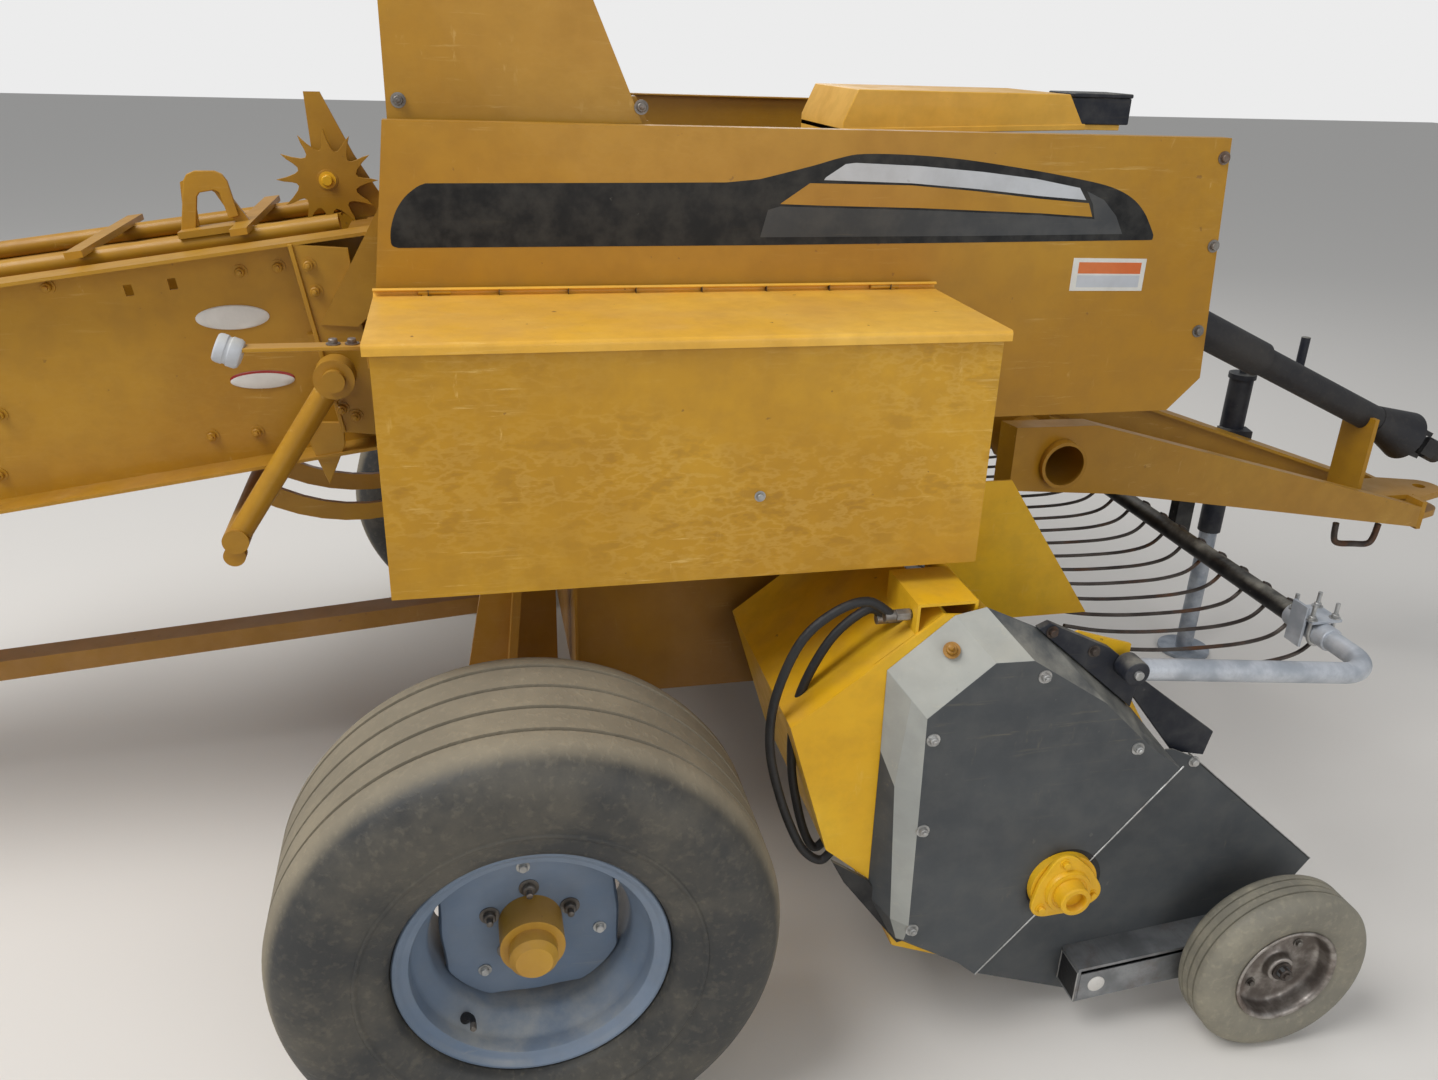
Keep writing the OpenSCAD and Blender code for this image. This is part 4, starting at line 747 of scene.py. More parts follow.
# The stripe and the plate in x and z
STRIPE_TOP = [
    (0.3859, 1.4722), (0.4726, 1.4934), (0.5195, 1.5064), (0.5603, 1.5131), (0.6511, 1.5122),
    (0.7446, 1.5055), (0.8637, 1.4905), (0.9561, 1.4761), (1.0192, 1.4631), (1.0617, 1.4451),
    (1.09, 1.4213), (1.1085, 1.395), (1.1165, 1.381),
]
STRIPE_TIP = [(1.1165, 1.381), (1.116, 1.375), (1.111, 1.3726), (1.0679, 1.3722)]
STRIPE_LEFT = [
    (-0.19, 1.3655), (-0.1985, 1.3685), (-0.201, 1.376), (-0.199, 1.396), (-0.19, 1.421), (-0.175, 1.442),
    (-0.156, 1.457), (-0.143, 1.4625),
]
SILVER_BAND = [
    (0.4978, 1.476), (0.5305, 1.4971), (0.5476, 1.4991), (0.66, 1.4951), (0.7761, 1.4865), (0.8734, 1.4762),
    (0.9586, 1.4615), (0.9735, 1.4414), (0.8852, 1.4478), (0.7651, 1.4591), (0.6487, 1.4675),
    (0.4946, 1.4716),
]
STRIPE_WINDOW = [
    (0.4217, 1.4333), (0.4709, 1.4664), (0.649, 1.464), (0.7656, 1.4552), (0.886, 1.4431), (0.9798, 1.436),
    (0.9901, 1.413), (0.8897, 1.419), (0.6673, 1.4273), (0.4974, 1.4309),
]
GREY_ZONE = [
    (0.4017, 1.4237), (0.4219, 1.4295), (0.4976, 1.4275), (0.6677, 1.4238), (0.8903, 1.4155),
    (0.9954, 1.4089), (0.9878, 1.4347), (0.9732, 1.4562), (1.0081, 1.4415), (1.0364, 1.4144),
    (1.054, 1.3833), (0.7456, 1.3808), (0.3902, 1.3799),
]
PLATE_FRAME = [(0.9675, 1.3419), (1.112, 1.3394), (1.112, 1.2819), (0.9675, 1.2838)]
PLATE_UPPER = [(0.979, 1.3345), (1.103, 1.3326), (1.103, 1.3125), (0.979, 1.3146)]
PLATE_LOWER = [(0.979, 1.3115), (1.103, 1.3098), (1.103, 1.2885), (0.979, 1.2901)]


class OBJECT_OT_baler_stripes(bpy.types.Operator):
    """Lay the black, silver and grey stripe and the blank framed plate on the side panels"""

    bl_idname = "object.baler_stripes"
    bl_label = "Stripes"

    def execute(self, context):
        outline = np.concatenate([
            smooth_path(STRIPE_LEFT, 4), [(0.2, 1.4655), (0.33, 1.4668)], smooth_path(STRIPE_TOP, 4),
            smooth_path(STRIPE_TIP, 3), [(0.7469, 1.3695), (0.3907, 1.367)],
        ])
        layers = [
            ("Black_stripe", outline, "Black decal", 0.0004), ("Grey_zone", GREY_ZONE, "Grey decal", 0.0006),
            ("Silver_band", SILVER_BAND, "Silver decal", 0.0006),
            ("Stripe_window", STRIPE_WINDOW, "Ochre paint", 0.0007),
            ("Plate_frame", PLATE_FRAME, "White decal", 0.0005),
            ("Plate_upper", PLATE_UPPER, "Orange decal", 0.0007),
            ("Plate_lower", PLATE_LOWER, "Silver decal", 0.0007),
        ]
        for name, side in SIDES.items():
            for title, points, finish, rise in layers:
                sheet = prism(points, PANEL_Y, PANEL_Y + rise)
                add_side(name, side, title, sheet, finish, "chassis", smooth=False)
        return {"FINISHED"}


# Bolts on the left: name, finish, body, size beside the panels' bolts, thread past the head, and their places
BOLTS = [
    ("Panel_bolts", "Worn steel", "chassis", 1, 0, [
        (1.2284, PANEL_Y, 1.5138), (1.242, PANEL_Y, 1.3614), (1.245, PANEL_Y, 1.205)]),
    ("Box_bolt", "Bright fastener", "chassis", 0.75, 0, [(0.326, BOX_OUT, 1.0445)]),
    ("Shield_bolts", "Bright fastener", "pickup", 1, 0.002, [
        (0.766, SHIELD_Y, 0.772), (0.9595, SHIELD_Y, 0.6153), (0.5885, SHIELD_Y, 0.6736),
        (0.59, SHIELD_Y, 0.4972), (0.5925, SHIELD_Y, 0.2881)]),
    ("Shield_latch", "Deep ochre paint", "pickup", 1.2, 0.01, [(0.619, 1.004, 0.812)]),
    ("Skirt_bolts", "Bright fastener", "pickup", 0.9, 0, [(1.1063, SKIRT_OUT, 0.545)]),
    ("Chamber_bolts", "Ochre paint", "chassis", 1.15, 0.006, [
        (-0.4867, CHAMBER_OUT, 1.2672), (-0.4207, CHAMBER_OUT, 1.2755), (-0.8083, CHAMBER_OUT, 1.2442),
        (-0.5763, CHAMBER_OUT, 0.9598), (-0.4952, CHAMBER_OUT, 0.9644), (-0.9287, CHAMBER_OUT, 1.0145),
        (-0.9517, CHAMBER_OUT, 0.8996), (-0.3528, POST_OUT, 1.2445), (-0.3597, POST_OUT, 1.2903),
        (-0.3383, POST_OUT, 1.0485), (-0.3281, POST_OUT, 1.025), (-0.305, POST_OUT, 1.01)]),
    ("Cover_bolts", "Worn steel", "knotter_cover", 1, 0.004, [(-0.176, 0.5203, 1.578), (0.2, 0.5203, 1.575)]),
]
LATCH_AXIS = (-0.45, 0.7, 0.8)


class OBJECT_OT_baler_bolts(bpy.types.Operator):
    """Put in the bolts of the panels, boxes, shields, chamber and cover"""

    bl_idname = "object.baler_bolts"
    bl_label = "Bolts"

    def execute(self, context):
        size = context.scene.baler_sizes.bolt_size
        for name, side in SIDES.items():
            for title, finish, body, scale, thread, places in BOLTS:
                u, v, w = LATCH_AXIS if title == "Shield_latch" else (0, 1, 0)
                heads = [(x, side * y, z, (u, side * v, w)) for x, y, z in places]
                add_piece(f"{title}_{name}", bolts(heads, size * scale, thread), finish, body)
        return {"FINISHED"}


# Sections below are (radius, distance along the axis)
BEARING_HOUSING = [
    (0.042, 0.004), (0.0415, 0.016), (0.039, 0.0195), (0.033, 0.0205), (0.0315, 0.018), (0.03, 0.018),
    (0.0285, 0.023), (0.028, 0.042), (0.026, 0.044), (0.019, 0.0445), (0.017, 0.04), (0.0165, 0.03),
]
# The first of the flange's three corners, in degrees
FLANGE_CORNER = 100


def stacked(outlines, centre, side, outs):
    """Outlines (u, v) about a centre (x, z), each set at a distance out on a side and joined to the next."""
    points = [np.column_stack([centre[0] + u, np.full(len(u), side * out), centre[1] + v])
              for (u, v), out in zip(outlines, outs)]
    return np.concatenate(points), capped_faces(len(points), len(points[0]))


class OBJECT_OT_baler_bearings(bpy.types.Operator):
    """Make the yellow flange bearings at the ends of the pickup reel"""

    bl_idname = "object.baler_bearings"
    bl_label = "Reel bearings"

    def execute(self, context):
        angle = np.linspace(0, 2 * np.pi, 96, endpoint=False)
        swell = 3 * (angle - math.radians(FLANGE_CORNER))
        radius = 0.0615 + 0.0085 * np.cos(swell) + 0.002 * np.cos(2 * swell)
        rings = [(r * np.cos(angle), r * np.sin(angle))
                 for r in (radius - 0.001, radius, radius, radius - 0.0015, 0.047, 0.044)]
        face = SHIELD_Y + 0.0145
        outs = face + np.array([0, 0.0015, 0.007, 0.0085, 0.009, 0.0105])
        for name, side in SIDES.items():
            centre = (REEL_X, side * face, REEL_Z)
            flange = stacked(rings, (REEL_X, REEL_Z), side, outs)
            housing = capped_turn(BEARING_HOUSING, centre, (0, side, 0), 48)
            bearing = joined([flange, housing])
            add_piece(f"Reel_bearing_{name}", bearing, "Bright yellow paint", "pickup", bevel=0.0008)
            corners = round_places(centre, 0.056, FLANGE_CORNER + np.arange(3) * 120, 0.0085, side)
            add_piece(f"Bearing_bolts_{name}", bolts(corners, 0.006), "Bright yellow paint", "pickup")
        return {"FINISHED"}


LAMP_SECTION = [
    (0.017, 0.0), (0.0195, 0.002), (0.0205, 0.006), (0.0205, 0.013), (0.019, 0.0145), (0.019, 0.0175),
    (0.0208, 0.019), (0.0208, 0.03), (0.0185, 0.034), (0.011, 0.0365),
]
# Name, finish, middle in x and z, half the length and height, tilt in degrees and how far it bulges
REFLECTORS = [
    ("Upper_reflector", "Lamp white", (-0.51, 1.185), (0.064, 0.0225), 2, 1),
    # Painted glare: the lower reflector is white but for a red rim along its top, as a red reflector glinting
    ("Lower_reflector_glare", "Lamp white", (-0.4725, 1.065), (0.057, 0.0155), 1, 1),
    ("Reflector_rim", "Reflector red", (-0.4725, 1.069), (0.0575, 0.0155), 1, 0.6),
]


class OBJECT_OT_baler_lamps(bpy.types.Operator):
    """Make the round side lamps, their arms and the oval reflectors"""

    bl_idname = "object.baler_lamps"
    bl_label = "Lamps"

    def execute(self, context):
        angle = np.linspace(0, 2 * np.pi, 40, endpoint=False)
        scales = np.array([[1.0], [1.0], [0.93], [0.6], [0.2]])
        rises = np.array([0, 0.002, 0.004, 0.0055, 0.006])
        for name, side in SIDES.items():
            y, z = side * LAMP_Y, LAMP_Z
            lamp = capped_turn(LAMP_SECTION, (-0.427, y, z + 0.004), (1, 0, -0.42), 40)
            add_piece(f"Lamp_{name}", lamp, "Lamp silver", "chassis", bevel=0.0006)
            arm = joined([
                block((-0.3955, y - 0.014, z - 0.003), (-0.2253, y + 0.014, z + 0.003)),
                block((-0.231, y - 0.014, z - 0.03), (-0.2253, y + 0.014, z + 0.008)),
            ])
            add_piece(f"Lamp_arm_{name}", arm, "Ochre paint", "chassis", bevel=0.0015,
                      replaces=[f"lamp_{name}"])
            heads = bolts([(x, y, z + 0.003, (0, 0, 1)) for x in (-0.25, -0.275)], 0.006)
            add_piece(f"Lamp_arm_bolts_{name}", heads, "Worn steel", "chassis")
            for title, finish, centre, (long, high), tilt, bulge in REFLECTORS:
                u, v = long * scales * np.cos(angle), high * scales * np.sin(angle)
                c, s = math.cos(math.radians(tilt)), math.sin(math.radians(tilt))
                ovals = list(zip(u * c - v * s, u * s + v * c))
                oval = stacked(ovals, centre, side, CHAMBER_OUT + rises * bulge)
                add_piece(f"{title}_{name}", oval, finish, "chassis")
        return {"FINISHED"}


# Points of the two hoses in x, from the axle, and z, between the fittings and the common end at the reel
HOSE_SWEEPS = [
    [(0.545, 0.878), (0.49, 0.862), (0.4382, 0.812), (0.4031, 0.7131), (0.3995, 0.6185), (0.424, 0.5145),
     (0.456, 0.43), (0.48, 0.394)],
    [(0.56, 0.846), (0.4998, 0.7952), (0.4526, 0.6874), (0.448, 0.5696), (0.465, 0.47), (0.486, 0.402)],
]
HOSE_END = [(0.504, 0.3813), (0.5237, 0.4034)]
HOSE_START = 0.6197


class OBJECT_OT_baler_hoses(bpy.types.Operator):
    """Run the two hydraulic hoses from the pickup's bracket down behind its end plate"""

    bl_idname = "object.baler_hoses"
    bl_label = "Hoses"

    def execute(self, context):
        shapes, ends = [], []
        nut = [(0.0082, 0.0), (0.0105, 0.001), (0.0105, 0.024), (0.0085, 0.026)]
        for i, sweep in enumerate(HOSE_SWEEPS):
            y, z = -(0.945 - 0.034 * i), 0.85 - 0.022 * i
            start = [(HOSE_START, z), (0.605, z), (0.59, z)]
            path = [(x + AXLE_X, y, h) for x, h in start + sweep + HOSE_END]
            shapes.append(tube(smooth_path(path, 7), 0.0078, 16))
            for back, profile, sides in ((0.027, nut, 6), (0.045, [(0.0095, 0.0), (0.0095, 0.018)], 20)):
                ends.append(capped_turn(profile, (HOSE_START + AXLE_X - back, y, z), (1, 0, 0), sides))
        add_piece("Pickup_hoses", joined(shapes), "Hose rubber", "pickup", replaces=["pickup_hoses"])
        add_piece("Hose_fittings", joined(ends), "Worn steel", "pickup", bevel=0.0008)
        return {"FINISHED"}


# The windguard's pivot and its cross tube in x and z, the side tubes' y, their bend, and the y where they end
GUARD_PIVOT = (0.94, 0.752)
GUARD_TUBE = (1.42, 0.704)
GUARD_Y = 1.01
GUARD_BEND = 0.055
GUARD_INNER = 0.8
GUARD_CLAMP_Y = 0.845
# A rod's curl over the cross tube and its run back under it, in x and z from the tube's middle
GUARD_ROD = [
    (0.004, 0.0185), (0.02, 0.01), (0.0235, -0.01), (0.018, -0.034), (-0.01, -0.058), (-0.06, -0.07),
    (-0.13, -0.0735), (-0.24, -0.071), (-0.34, -0.06), (-0.42, -0.042),
]


class OBJECT_OT_baler_windguard(bpy.types.Operator):
    """Make the windguard: grey side tubes with round elbows, a black cross tube, clamps and curled rods"""

    bl_idname = "object.baler_windguard"
    bl_label = "Windguard"

    def execute(self, context):
        x0, z0 = GUARD_PIVOT
        x1, z1 = GUARD_TUBE
        bend, y, inner = GUARD_BEND, GUARD_Y, GUARD_INNER
        run = x1 - bend - x0
        slope = (z0 - z1) / run
        for name, side in SIDES.items():
            elbow = [(x1 - bend + bend * math.sin(a), side * (y - bend + bend * math.cos(a)), z1)
                     for a in np.linspace(0, np.pi / 2, 12)]
            rail = [(x0 + s * run, side * y, z0 - slope * s * run) for s in np.linspace(0, 1, 7)]
            path = rail[:-1] + elbow + [(x1, side * (y - bend - 0.03), z1), (x1, side * inner, z1)]
            add_piece(f"Windguard_arm_{name}", tube(path, 0.0188, 24), "Sunlit galvanised tube", "windguard",
                      replaces=["windguard"] if side < 0 else ())
            sleeve = capped_turn([(0.019, -0.02), (0.022, -0.018), (0.022, 0.018), (0.019, 0.02)],
                                 (x0, side * y, z0), (0, side, 0), 32)
            add_piece(f"Windguard_sleeve_{name}", sleeve, "Navy black paint", "windguard", bevel=0.001)
            self.clamp(name, side, x1, z1)
        cross = tube([(x1, v, z1) for v in np.linspace(-inner - 0.07, inner + 0.07, 9)], 0.019, 24)
        add_piece("Windguard_cross_tube", cross, "Black gloss paint", "windguard", bevel=0.001)
        rods = [tube(smooth_path([(x1 + dx, v, z1 + dz) for dx, dz in GUARD_ROD], 4), 0.004, 8)
                for v in np.linspace(-0.84, 0.84, 24)]
        add_piece("Windguard_rods", joined(rods), "Dark rusty steel", "windguard")
        return {"FINISHED"}

    def clamp(self, name, side, x, z):
        """A sleeve with a cross plate and two U-bolts, whose legs come through the plate to their nuts."""
        y, bow, top = side * GUARD_CLAMP_Y, 0.0245, 0.0285
        sleeve = capped_turn([(0.0205, -0.075), (0.0225, -0.073), (0.0225, 0.035), (0.0205, 0.037)],
                             (x, y + side * 0.02, z), (0, side, 0), 32)
        plates = [
            block((x - 0.03, y - 0.034, z + 0.0225), (x + 0.034, y + 0.034, z + top)),
            block((x - 0.036, y - 0.02, z - 0.03), (x - 0.03, y + 0.02, z + 0.052)),
        ]
        add_piece(f"Windguard_clamp_{name}", joined([sleeve, joined(plates)]), "Sunlit galvanised tube",
                  "windguard", bevel=0.0015)
        legs, nuts = [], []
        for shift in (-0.024, 0.024):
            arc = [(x + bow * math.cos(a), y + shift, z + bow * math.sin(a))
                   for a in np.linspace(np.pi, 2 * np.pi, 14)]
            tips = [(x + s * bow, y + shift, z + 0.058) for s in (-1, 1)]
            legs.append(tube([tips[0], *arc, tips[1]], 0.004, 12))
            nuts += [(x + s * bow, y + shift, z + top, (0, 0, 1)) for s in (-1, 1)]
        add_piece(f"Windguard_ubolts_{name}", joined(legs), "Bright fastener", "windguard")
        add_piece(f"Windguard_nuts_{name}", bolts(nuts, 0.0062), "Bright fastener", "windguard")


# A lid's hinge line on the left, in y and z
LID_HINGE = (0.5943, 1.299)


class OBJECT_OT_baler_lids(bpy.types.Operator):
    """Make each twine box's lid of one folded sheet, its back edge rolled round the hinge"""

    bl_idname = "object.baler_lids"
    bl_label = "Twine box lids"

    def execute(self, context):
        y, z = LID_HINGE
        turn = np.radians(np.linspace(40, 270, 14))
        roll = np.column_stack([y + 0.006 * np.cos(turn), z + 0.006 * np.sin(turn)])
        sheet = [(0.605, 1.2922), (0.75, 1.2918), (0.8955, 1.2918), (0.8985, 1.291), (0.9004, 1.2888),
                 (0.9008, 1.286), (0.9008, 1.2768)]
        section = band(np.concatenate([roll, sheet]), 0.0025)
        ends = [block((x, 0.606, 1.279), (x + 0.0025, 0.899, 1.2916)) for x in (-0.234, 0.7015)]
        lid = joined([carried(section, -0.234, 0.704)] + ends)
        for name, side in SIDES.items():
            # The lids take the lighter ochre that stands for sunlight, as painted light
            add_side(name, side, "Twine_lid", lid, "Sunlit ochre lid paint", f"twine_lid_{name}",
                     replaces="twine_lid")
            knuckles = [round_bar((x, side * y, z), (x + 0.0008, side * y, z), 0.007)
                        for x in np.arange(-0.15, 0.66, 0.11)]
            add_piece(f"Lid_hinge_{name}", joined(knuckles), "Dark rusty steel", f"twine_lid_{name}")
        return {"FINISHED"}


class OBJECT_OT_baler_hood(bpy.types.Operator):
    """Make the hood at the front of the roof, its shelf and the dark box ahead of it"""

    bl_idname = "object.baler_hood"
    bl_label = "Front hood"

    def execute(self, context):
        outline = [(0.663, 1.4613), (0.663, 1.535), (0.691, 1.597), (1.15, 1.597), (1.193, 1.528),
                   (0.966, 1.528), (0.966, 1.5039)]
        lip = [(0.663, 1.512), (0.663, 1.524), (1.193, 1.54), (1.193, 1.528)]
        shelf = block((1.169, -0.05, 1.522), (1.33, 0.05, 1.534))
        hood = joined([prism(outline, -0.1485, 0.1485), prism(lip, -0.15, 0.15), shelf])
        # The hood takes the lighter ochre that stands for sunlight, as painted light
        add_piece("Front_hood", hood, "Sunlit ochre lid paint", "chassis", bevel=0.002, replaces=["front_hood"])
        box = joined([
            block((1.21, -0.058, 1.534), (1.346, 0.058, 1.588)),
            block((1.207, -0.06, 1.588), (1.348, 0.06, 1.597)),
        ])
        add_piece("Front_control_box", box, "Navy black paint", "chassis", bevel=0.003)
        return {"FINISHED"}


class OBJECT_OT_baler_posts(bpy.types.Operator):
    """Put up the posts beside the chamber, the lifting stirrup, and the tongue's hose loop and stub post"""

    bl_idname = "object.baler_posts"
    bl_label = "Posts and brackets"

    def execute(self, context):
        top, foot = (-0.391, 1.327), (-0.333, 0.98)
        bracket = [(-0.393, 1.0), (-0.393, 0.956), (-0.366, 0.874), (-0.33, 0.953), (-0.33, 0.997)]
        post = joined([
            prism([top, foot, (-0.26, 0.97), (-0.29, 1.32)], 0.296, POST_OUT),
            prism([top, foot, (-0.325, 0.98), (-0.383, 1.327)], CHAMBER_OUT + 0.0005, 0.308),
            prism(bracket, 0.29, 0.298),
        ])
        for name, side in SIDES.items():
            add_side(name, side, "Side_post", post, "Ochre paint", "chassis", 0.0015)
        stirrup = [
            (-0.6002, 1.3061), (-0.581, 1.4134), (-0.574, 1.425), (-0.5598, 1.4311), (-0.5256, 1.4313),
            (-0.513, 1.426), (-0.5055, 1.4139), (-0.4929, 1.3514), (-0.5111, 1.3459), (-0.5222, 1.3925),
            (-0.53, 1.397), (-0.556, 1.3925), (-0.5611, 1.3853), (-0.5741, 1.306),
        ]
        add_piece("Lifting_stirrup", prism(stirrup, -0.1345, -0.1265), "Ochre paint", "chassis", bevel=0.002)
        loop = [(x, -0.148, z) for x, z in (
            (2.07, 0.585), (2.075, 0.545), (2.09, 0.528), (2.135, 0.523), (2.18, 0.52), (2.195, 0.535),
            (2.2, 0.575))]
        add_piece("Tongue_hose_loop", tube(smooth_path(loop, 5), 0.008, 14), "Dark rusty steel", "chassis")
        stub = block((1.497, -0.285, 0.64), (1.542, -0.255, 0.765))
        add_piece("Tongue_stub_post", stub, "Black gloss paint", "chassis", bevel=0.003)
        return {"FINISHED"}


# The star wheel's axle in x and z, and one of its twelve teeth as (radius, degrees)
STAR_AXLE = (-0.34237, 1.401514)
STAR_TOOTH = [(0.096, 0), (0.082, 2.4), (0.068, 3.8), (0.059, 6.5), (0.056, 12), (0.061, 19), (0.076, 26)]


class OBJECT_OT_baler_star_wheel(bpy.types.Operator):
    """Make the star wheel that the bale turns, with hooked teeth, its hub and its bolt"""

    bl_idname = "object.baler_star_wheel"
    bl_label = "Star wheel"

    def execute(self, context):
        x, z = STAR_AXLE
        outline = [(x + r * math.cos(math.radians(30 * i + a)), z + r * math.sin(math.radians(30 * i + a)))
                   for i in range(12) for r, a in STAR_TOOTH]
        hub = [(0.02, -0.004), (0.02, 0.011), (0.0185, 0.0125), (0.0125, 0.013)]
        hub = capped_turn(hub, (x, 0, z), (0, 1, 0), 40)
        add_piece("Star_wheel", joined([prism(outline, -0.003, 0.003), hub]), "Ochre paint", "star_wheel",
                  bevel=0.0006, replaces=["star_wheel"])
        bolt = bolts([(x, -0.003, z, (0, -1, 0))], 0.01)
        add_piece("Star_wheel_bolt", bolt, "Bright yellow paint", "star_wheel")
        return {"FINISHED"}


# Corners of an end shield in x and z, in the same order round it, on the frame, at the fold and on its face
SHIELD_RINGS = [
    (0.9753, [
        (0.5256, 0.7693), (0.5283, 0.6182), (0.5309, 0.3209), (0.575, 0.232), (0.676, 0.192),
        (0.715, 0.178), (1.04, 0.583), (0.9762, 0.6547), (0.7761, 0.8259), (0.6833, 0.8694),
        (0.631, 0.8589)]),
    (1.015, [
        (0.5554, 0.735), (0.5429, 0.5721), (0.5618, 0.2953), (0.577, 0.248), (0.684, 0.195),
        (0.72, 0.169), (1.046, 0.572), (0.98, 0.631), (0.843, 0.755), (0.7205, 0.828),
        (0.66, 0.825)]),
    (SHIELD_Y, [
        (0.5745, 0.7132), (0.5785, 0.5726), (0.5858, 0.2955), (0.5795, 0.2671), (0.6899, 0.1953),
        (0.724, 0.1635), (1.05, 0.565), (0.9823, 0.616), (0.8849, 0.7104), (0.7443, 0.802),
        (0.6792, 0.8039)]),
]
# Faces of the back and top folds, given pale paint as a painted highlight
SHIELD_LIT_FOLDS = (0, 9, 10, 11, 12, 13, 20, 21)


class OBJECT_OT_baler_shields(bpy.types.Operator):
    """Make the folded end shields, their back and top folds painted pale as a highlight, and a dark disc as
    painted shade in the opening at the bearing
    """

    bl_idname = "object.baler_shields"
    bl_label = "End shields"

    def execute(self, context):
        points = np.array([(x, y, z) for y, ring in SHIELD_RINGS for x, z in ring])
        faces = capped_faces(len(SHIELD_RINGS), len(SHIELD_RINGS[0][1]))
        for name, side in SIDES.items():
            shield = add_side(name, side, "End_shield", (points, faces), "Charcoal paint", "pickup",
                              bevel=0.0012, smooth=False, replaces="end_shield")
            # Painted highlight: the pale paint goes on the back and top folds
            shield.data.materials.append(bpy.data.materials["Lit shield fold paint"])
            for index in SHIELD_LIT_FOLDS:
                shield.data.polygons[index].material_index = 1
            # Painted shade: a thin dark disc behind the bearing's flange shows between its lobes as the
            # shaded recess of the opening
            centre = (0.867, side * SHIELD_Y, 0.349)
            opening = capped_turn([(0.07, -0.001), (0.07, 0.0006)], centre, (0, side, 0), 64)
            add_piece(f"Shield_opening_shade_{name}", opening, "Hose rubber", "pickup")
        return {"FINISHED"}


# Sheets and edges of the pickup in x and z
SKIRT = [
    (0.722, 0.175), (1.046, 0.5765), (1.06, 0.5755), (1.1052, 0.5538), (1.4108, 0.2901), (1.335, 0.175),
    (0.9415, 0.052), (0.7528, 0.1225),
]
HEM = [(1.1052, 0.5538), (1.4108, 0.2901), (1.409, 0.288), (1.103, 0.5515)]
BRACKET = [(0.772, 0.829), (0.792, 0.838), (0.908, 0.782), (0.954, 0.745), (0.972, 0.712), (0.966, 0.664)]
# Painted shade: a navy band for the shaded front and top edge of the end plate's return flange
STRIP = [(0.955, 0.7), (0.985, 0.712), (1.145, 0.592), (1.135, 0.545), (1.07, 0.56)]
COVER = [(0.503, 0.775), (0.615, 0.86), (0.617, 0.857), (0.505, 0.772)]
# Painted shade: a narrow dark band for the shaded edge of the end plate's bottom flange
FLANGE_SHADE = [(0.458, 0.407), (0.527, 0.357), (0.6, 0.236), (0.614, 0.2113), (0.594, 0.207), (0.483, 0.359)]
# Lines of the painted highlights along the shield's and skirt's edges
SHIELD_EDGE = [(0.725, 0.164), (0.89, 0.3624), (1.056, 0.568)]
SKIRT_EDGE = [(1.1052, 0.5538), (1.25, 0.4285), (1.4108, 0.2901)]
ARM_WEB = [(0.9245, 0.0907), (1.2905, 0.1237), (1.2905, 0.1805), (0.9245, 0.1473)]
# The rim of the gauge arm's open end, in y and z
ARM_LIP = [(1.0025, 0.086), (1.0615, 0.086), (1.0615, 0.1515), (1.0025, 0.1515)]


class OBJECT_OT_baler_pickup_plates(bpy.types.Operator):
    """Make the pickup's skirts, brackets, auger covers and the gauge arms' webs, with painted shade as a dark
    band on a flange's edge, a navy band on the bracket and a dark sheet in each arm's open end, and painted
    highlights as pale strips along the shield's and skirt's edges
    """

    bl_idname = "object.baler_pickup_plates"
    bl_label = "Pickup plates"

    def execute(self, context):
        skirt = joined([prism(SKIRT, SKIRT_OUT - 0.003, SKIRT_OUT), prism(HEM, 0.984, SKIRT_OUT)])
        # The bracket carries the navy band of painted shade along the return flange's edge
        bracket = joined([prism(BRACKET, 0.9753, 0.9895), prism(STRIP, 0.9755, 0.985)])
        plug = [(0.0165, 0.0), (0.0165, 0.0016), (0.014, 0.003)]
        for name, side in SIDES.items():
            add = functools.partial(add_side, name, side)
            add("Front_skirt", skirt, "Charcoal paint", "pickup", 0.0008, replaces="front_skirt")
            add_piece(f"Guard_bracket_{name}", mirrored(bracket, side), "Navy black paint", "pickup",
                      bevel=0.0015, replaces=["guard_brackets"] if side < 0 else ())
            pin = round_bar((0.94, side * 0.985, 0.752), (0.94, side * 1.036, 0.752), 0.008)
            add_piece(f"Guard_pin_{name}", pin, "Bright fastener", "pickup", bevel=0.001)
            heads = [(x, side * 0.9895, z, (0, side, 0)) for x, z in ((0.797, 0.822), (0.878, 0.78))]
            add_piece(f"Guard_bracket_bolts_{name}", bolts(heads, 0.0065), "Dark rusty steel", "pickup")
            add("Auger_cover", prism(COVER, 0.562, 0.968), "Bright yellow paint", "pickup")
            # Painted shade: the narrow dark band on the flange's edge
            add("Pickup_skid", prism(FLANGE_SHADE, 0.9755, 0.984), "Black gloss paint", "pickup", 0.001)
            # Painted highlight: thin pale strips along the split between shield and skirt and along the
            # skirt's hem, as their lit edges
            edge_highlights = joined([tube([(x, side * y, z) for x, z in edge], thick, 8) for edge, y, thick in (
                (SHIELD_EDGE, SHIELD_Y, 0.0014), (SKIRT_EDGE, SKIRT_OUT - 0.0003, 0.001))])
            add_piece(f"Edge_highlights_{name}", edge_highlights, "Bright fastener", "pickup")
            add("Arm_web", prism(ARM_WEB, 1.0612, 1.0628), "Weathered galvanised band", "pickup")
            # Painted shade: a dark sheet across the gauge arm's open end, for its shaded inside
            add("Arm_mouth", block((0.9176, 1.005, 0.089), (0.9186, 1.059, 0.1485)), "Hose rubber", "pickup")
            lip = tube([(0.9178, side * y, z) for y, z in ARM_LIP], 0.0012, 8, closed=True)
            add_piece(f"Arm_lip_{name}", lip, "Bright fastener", "pickup")
            cap = capped_turn(plug, (0.958, side * 1.0626, 0.1215), (0, side, 0), 40)
            add_piece(f"Arm_plug_{name}", cap, "Lamp white", "pickup")
        return {"FINISHED"}


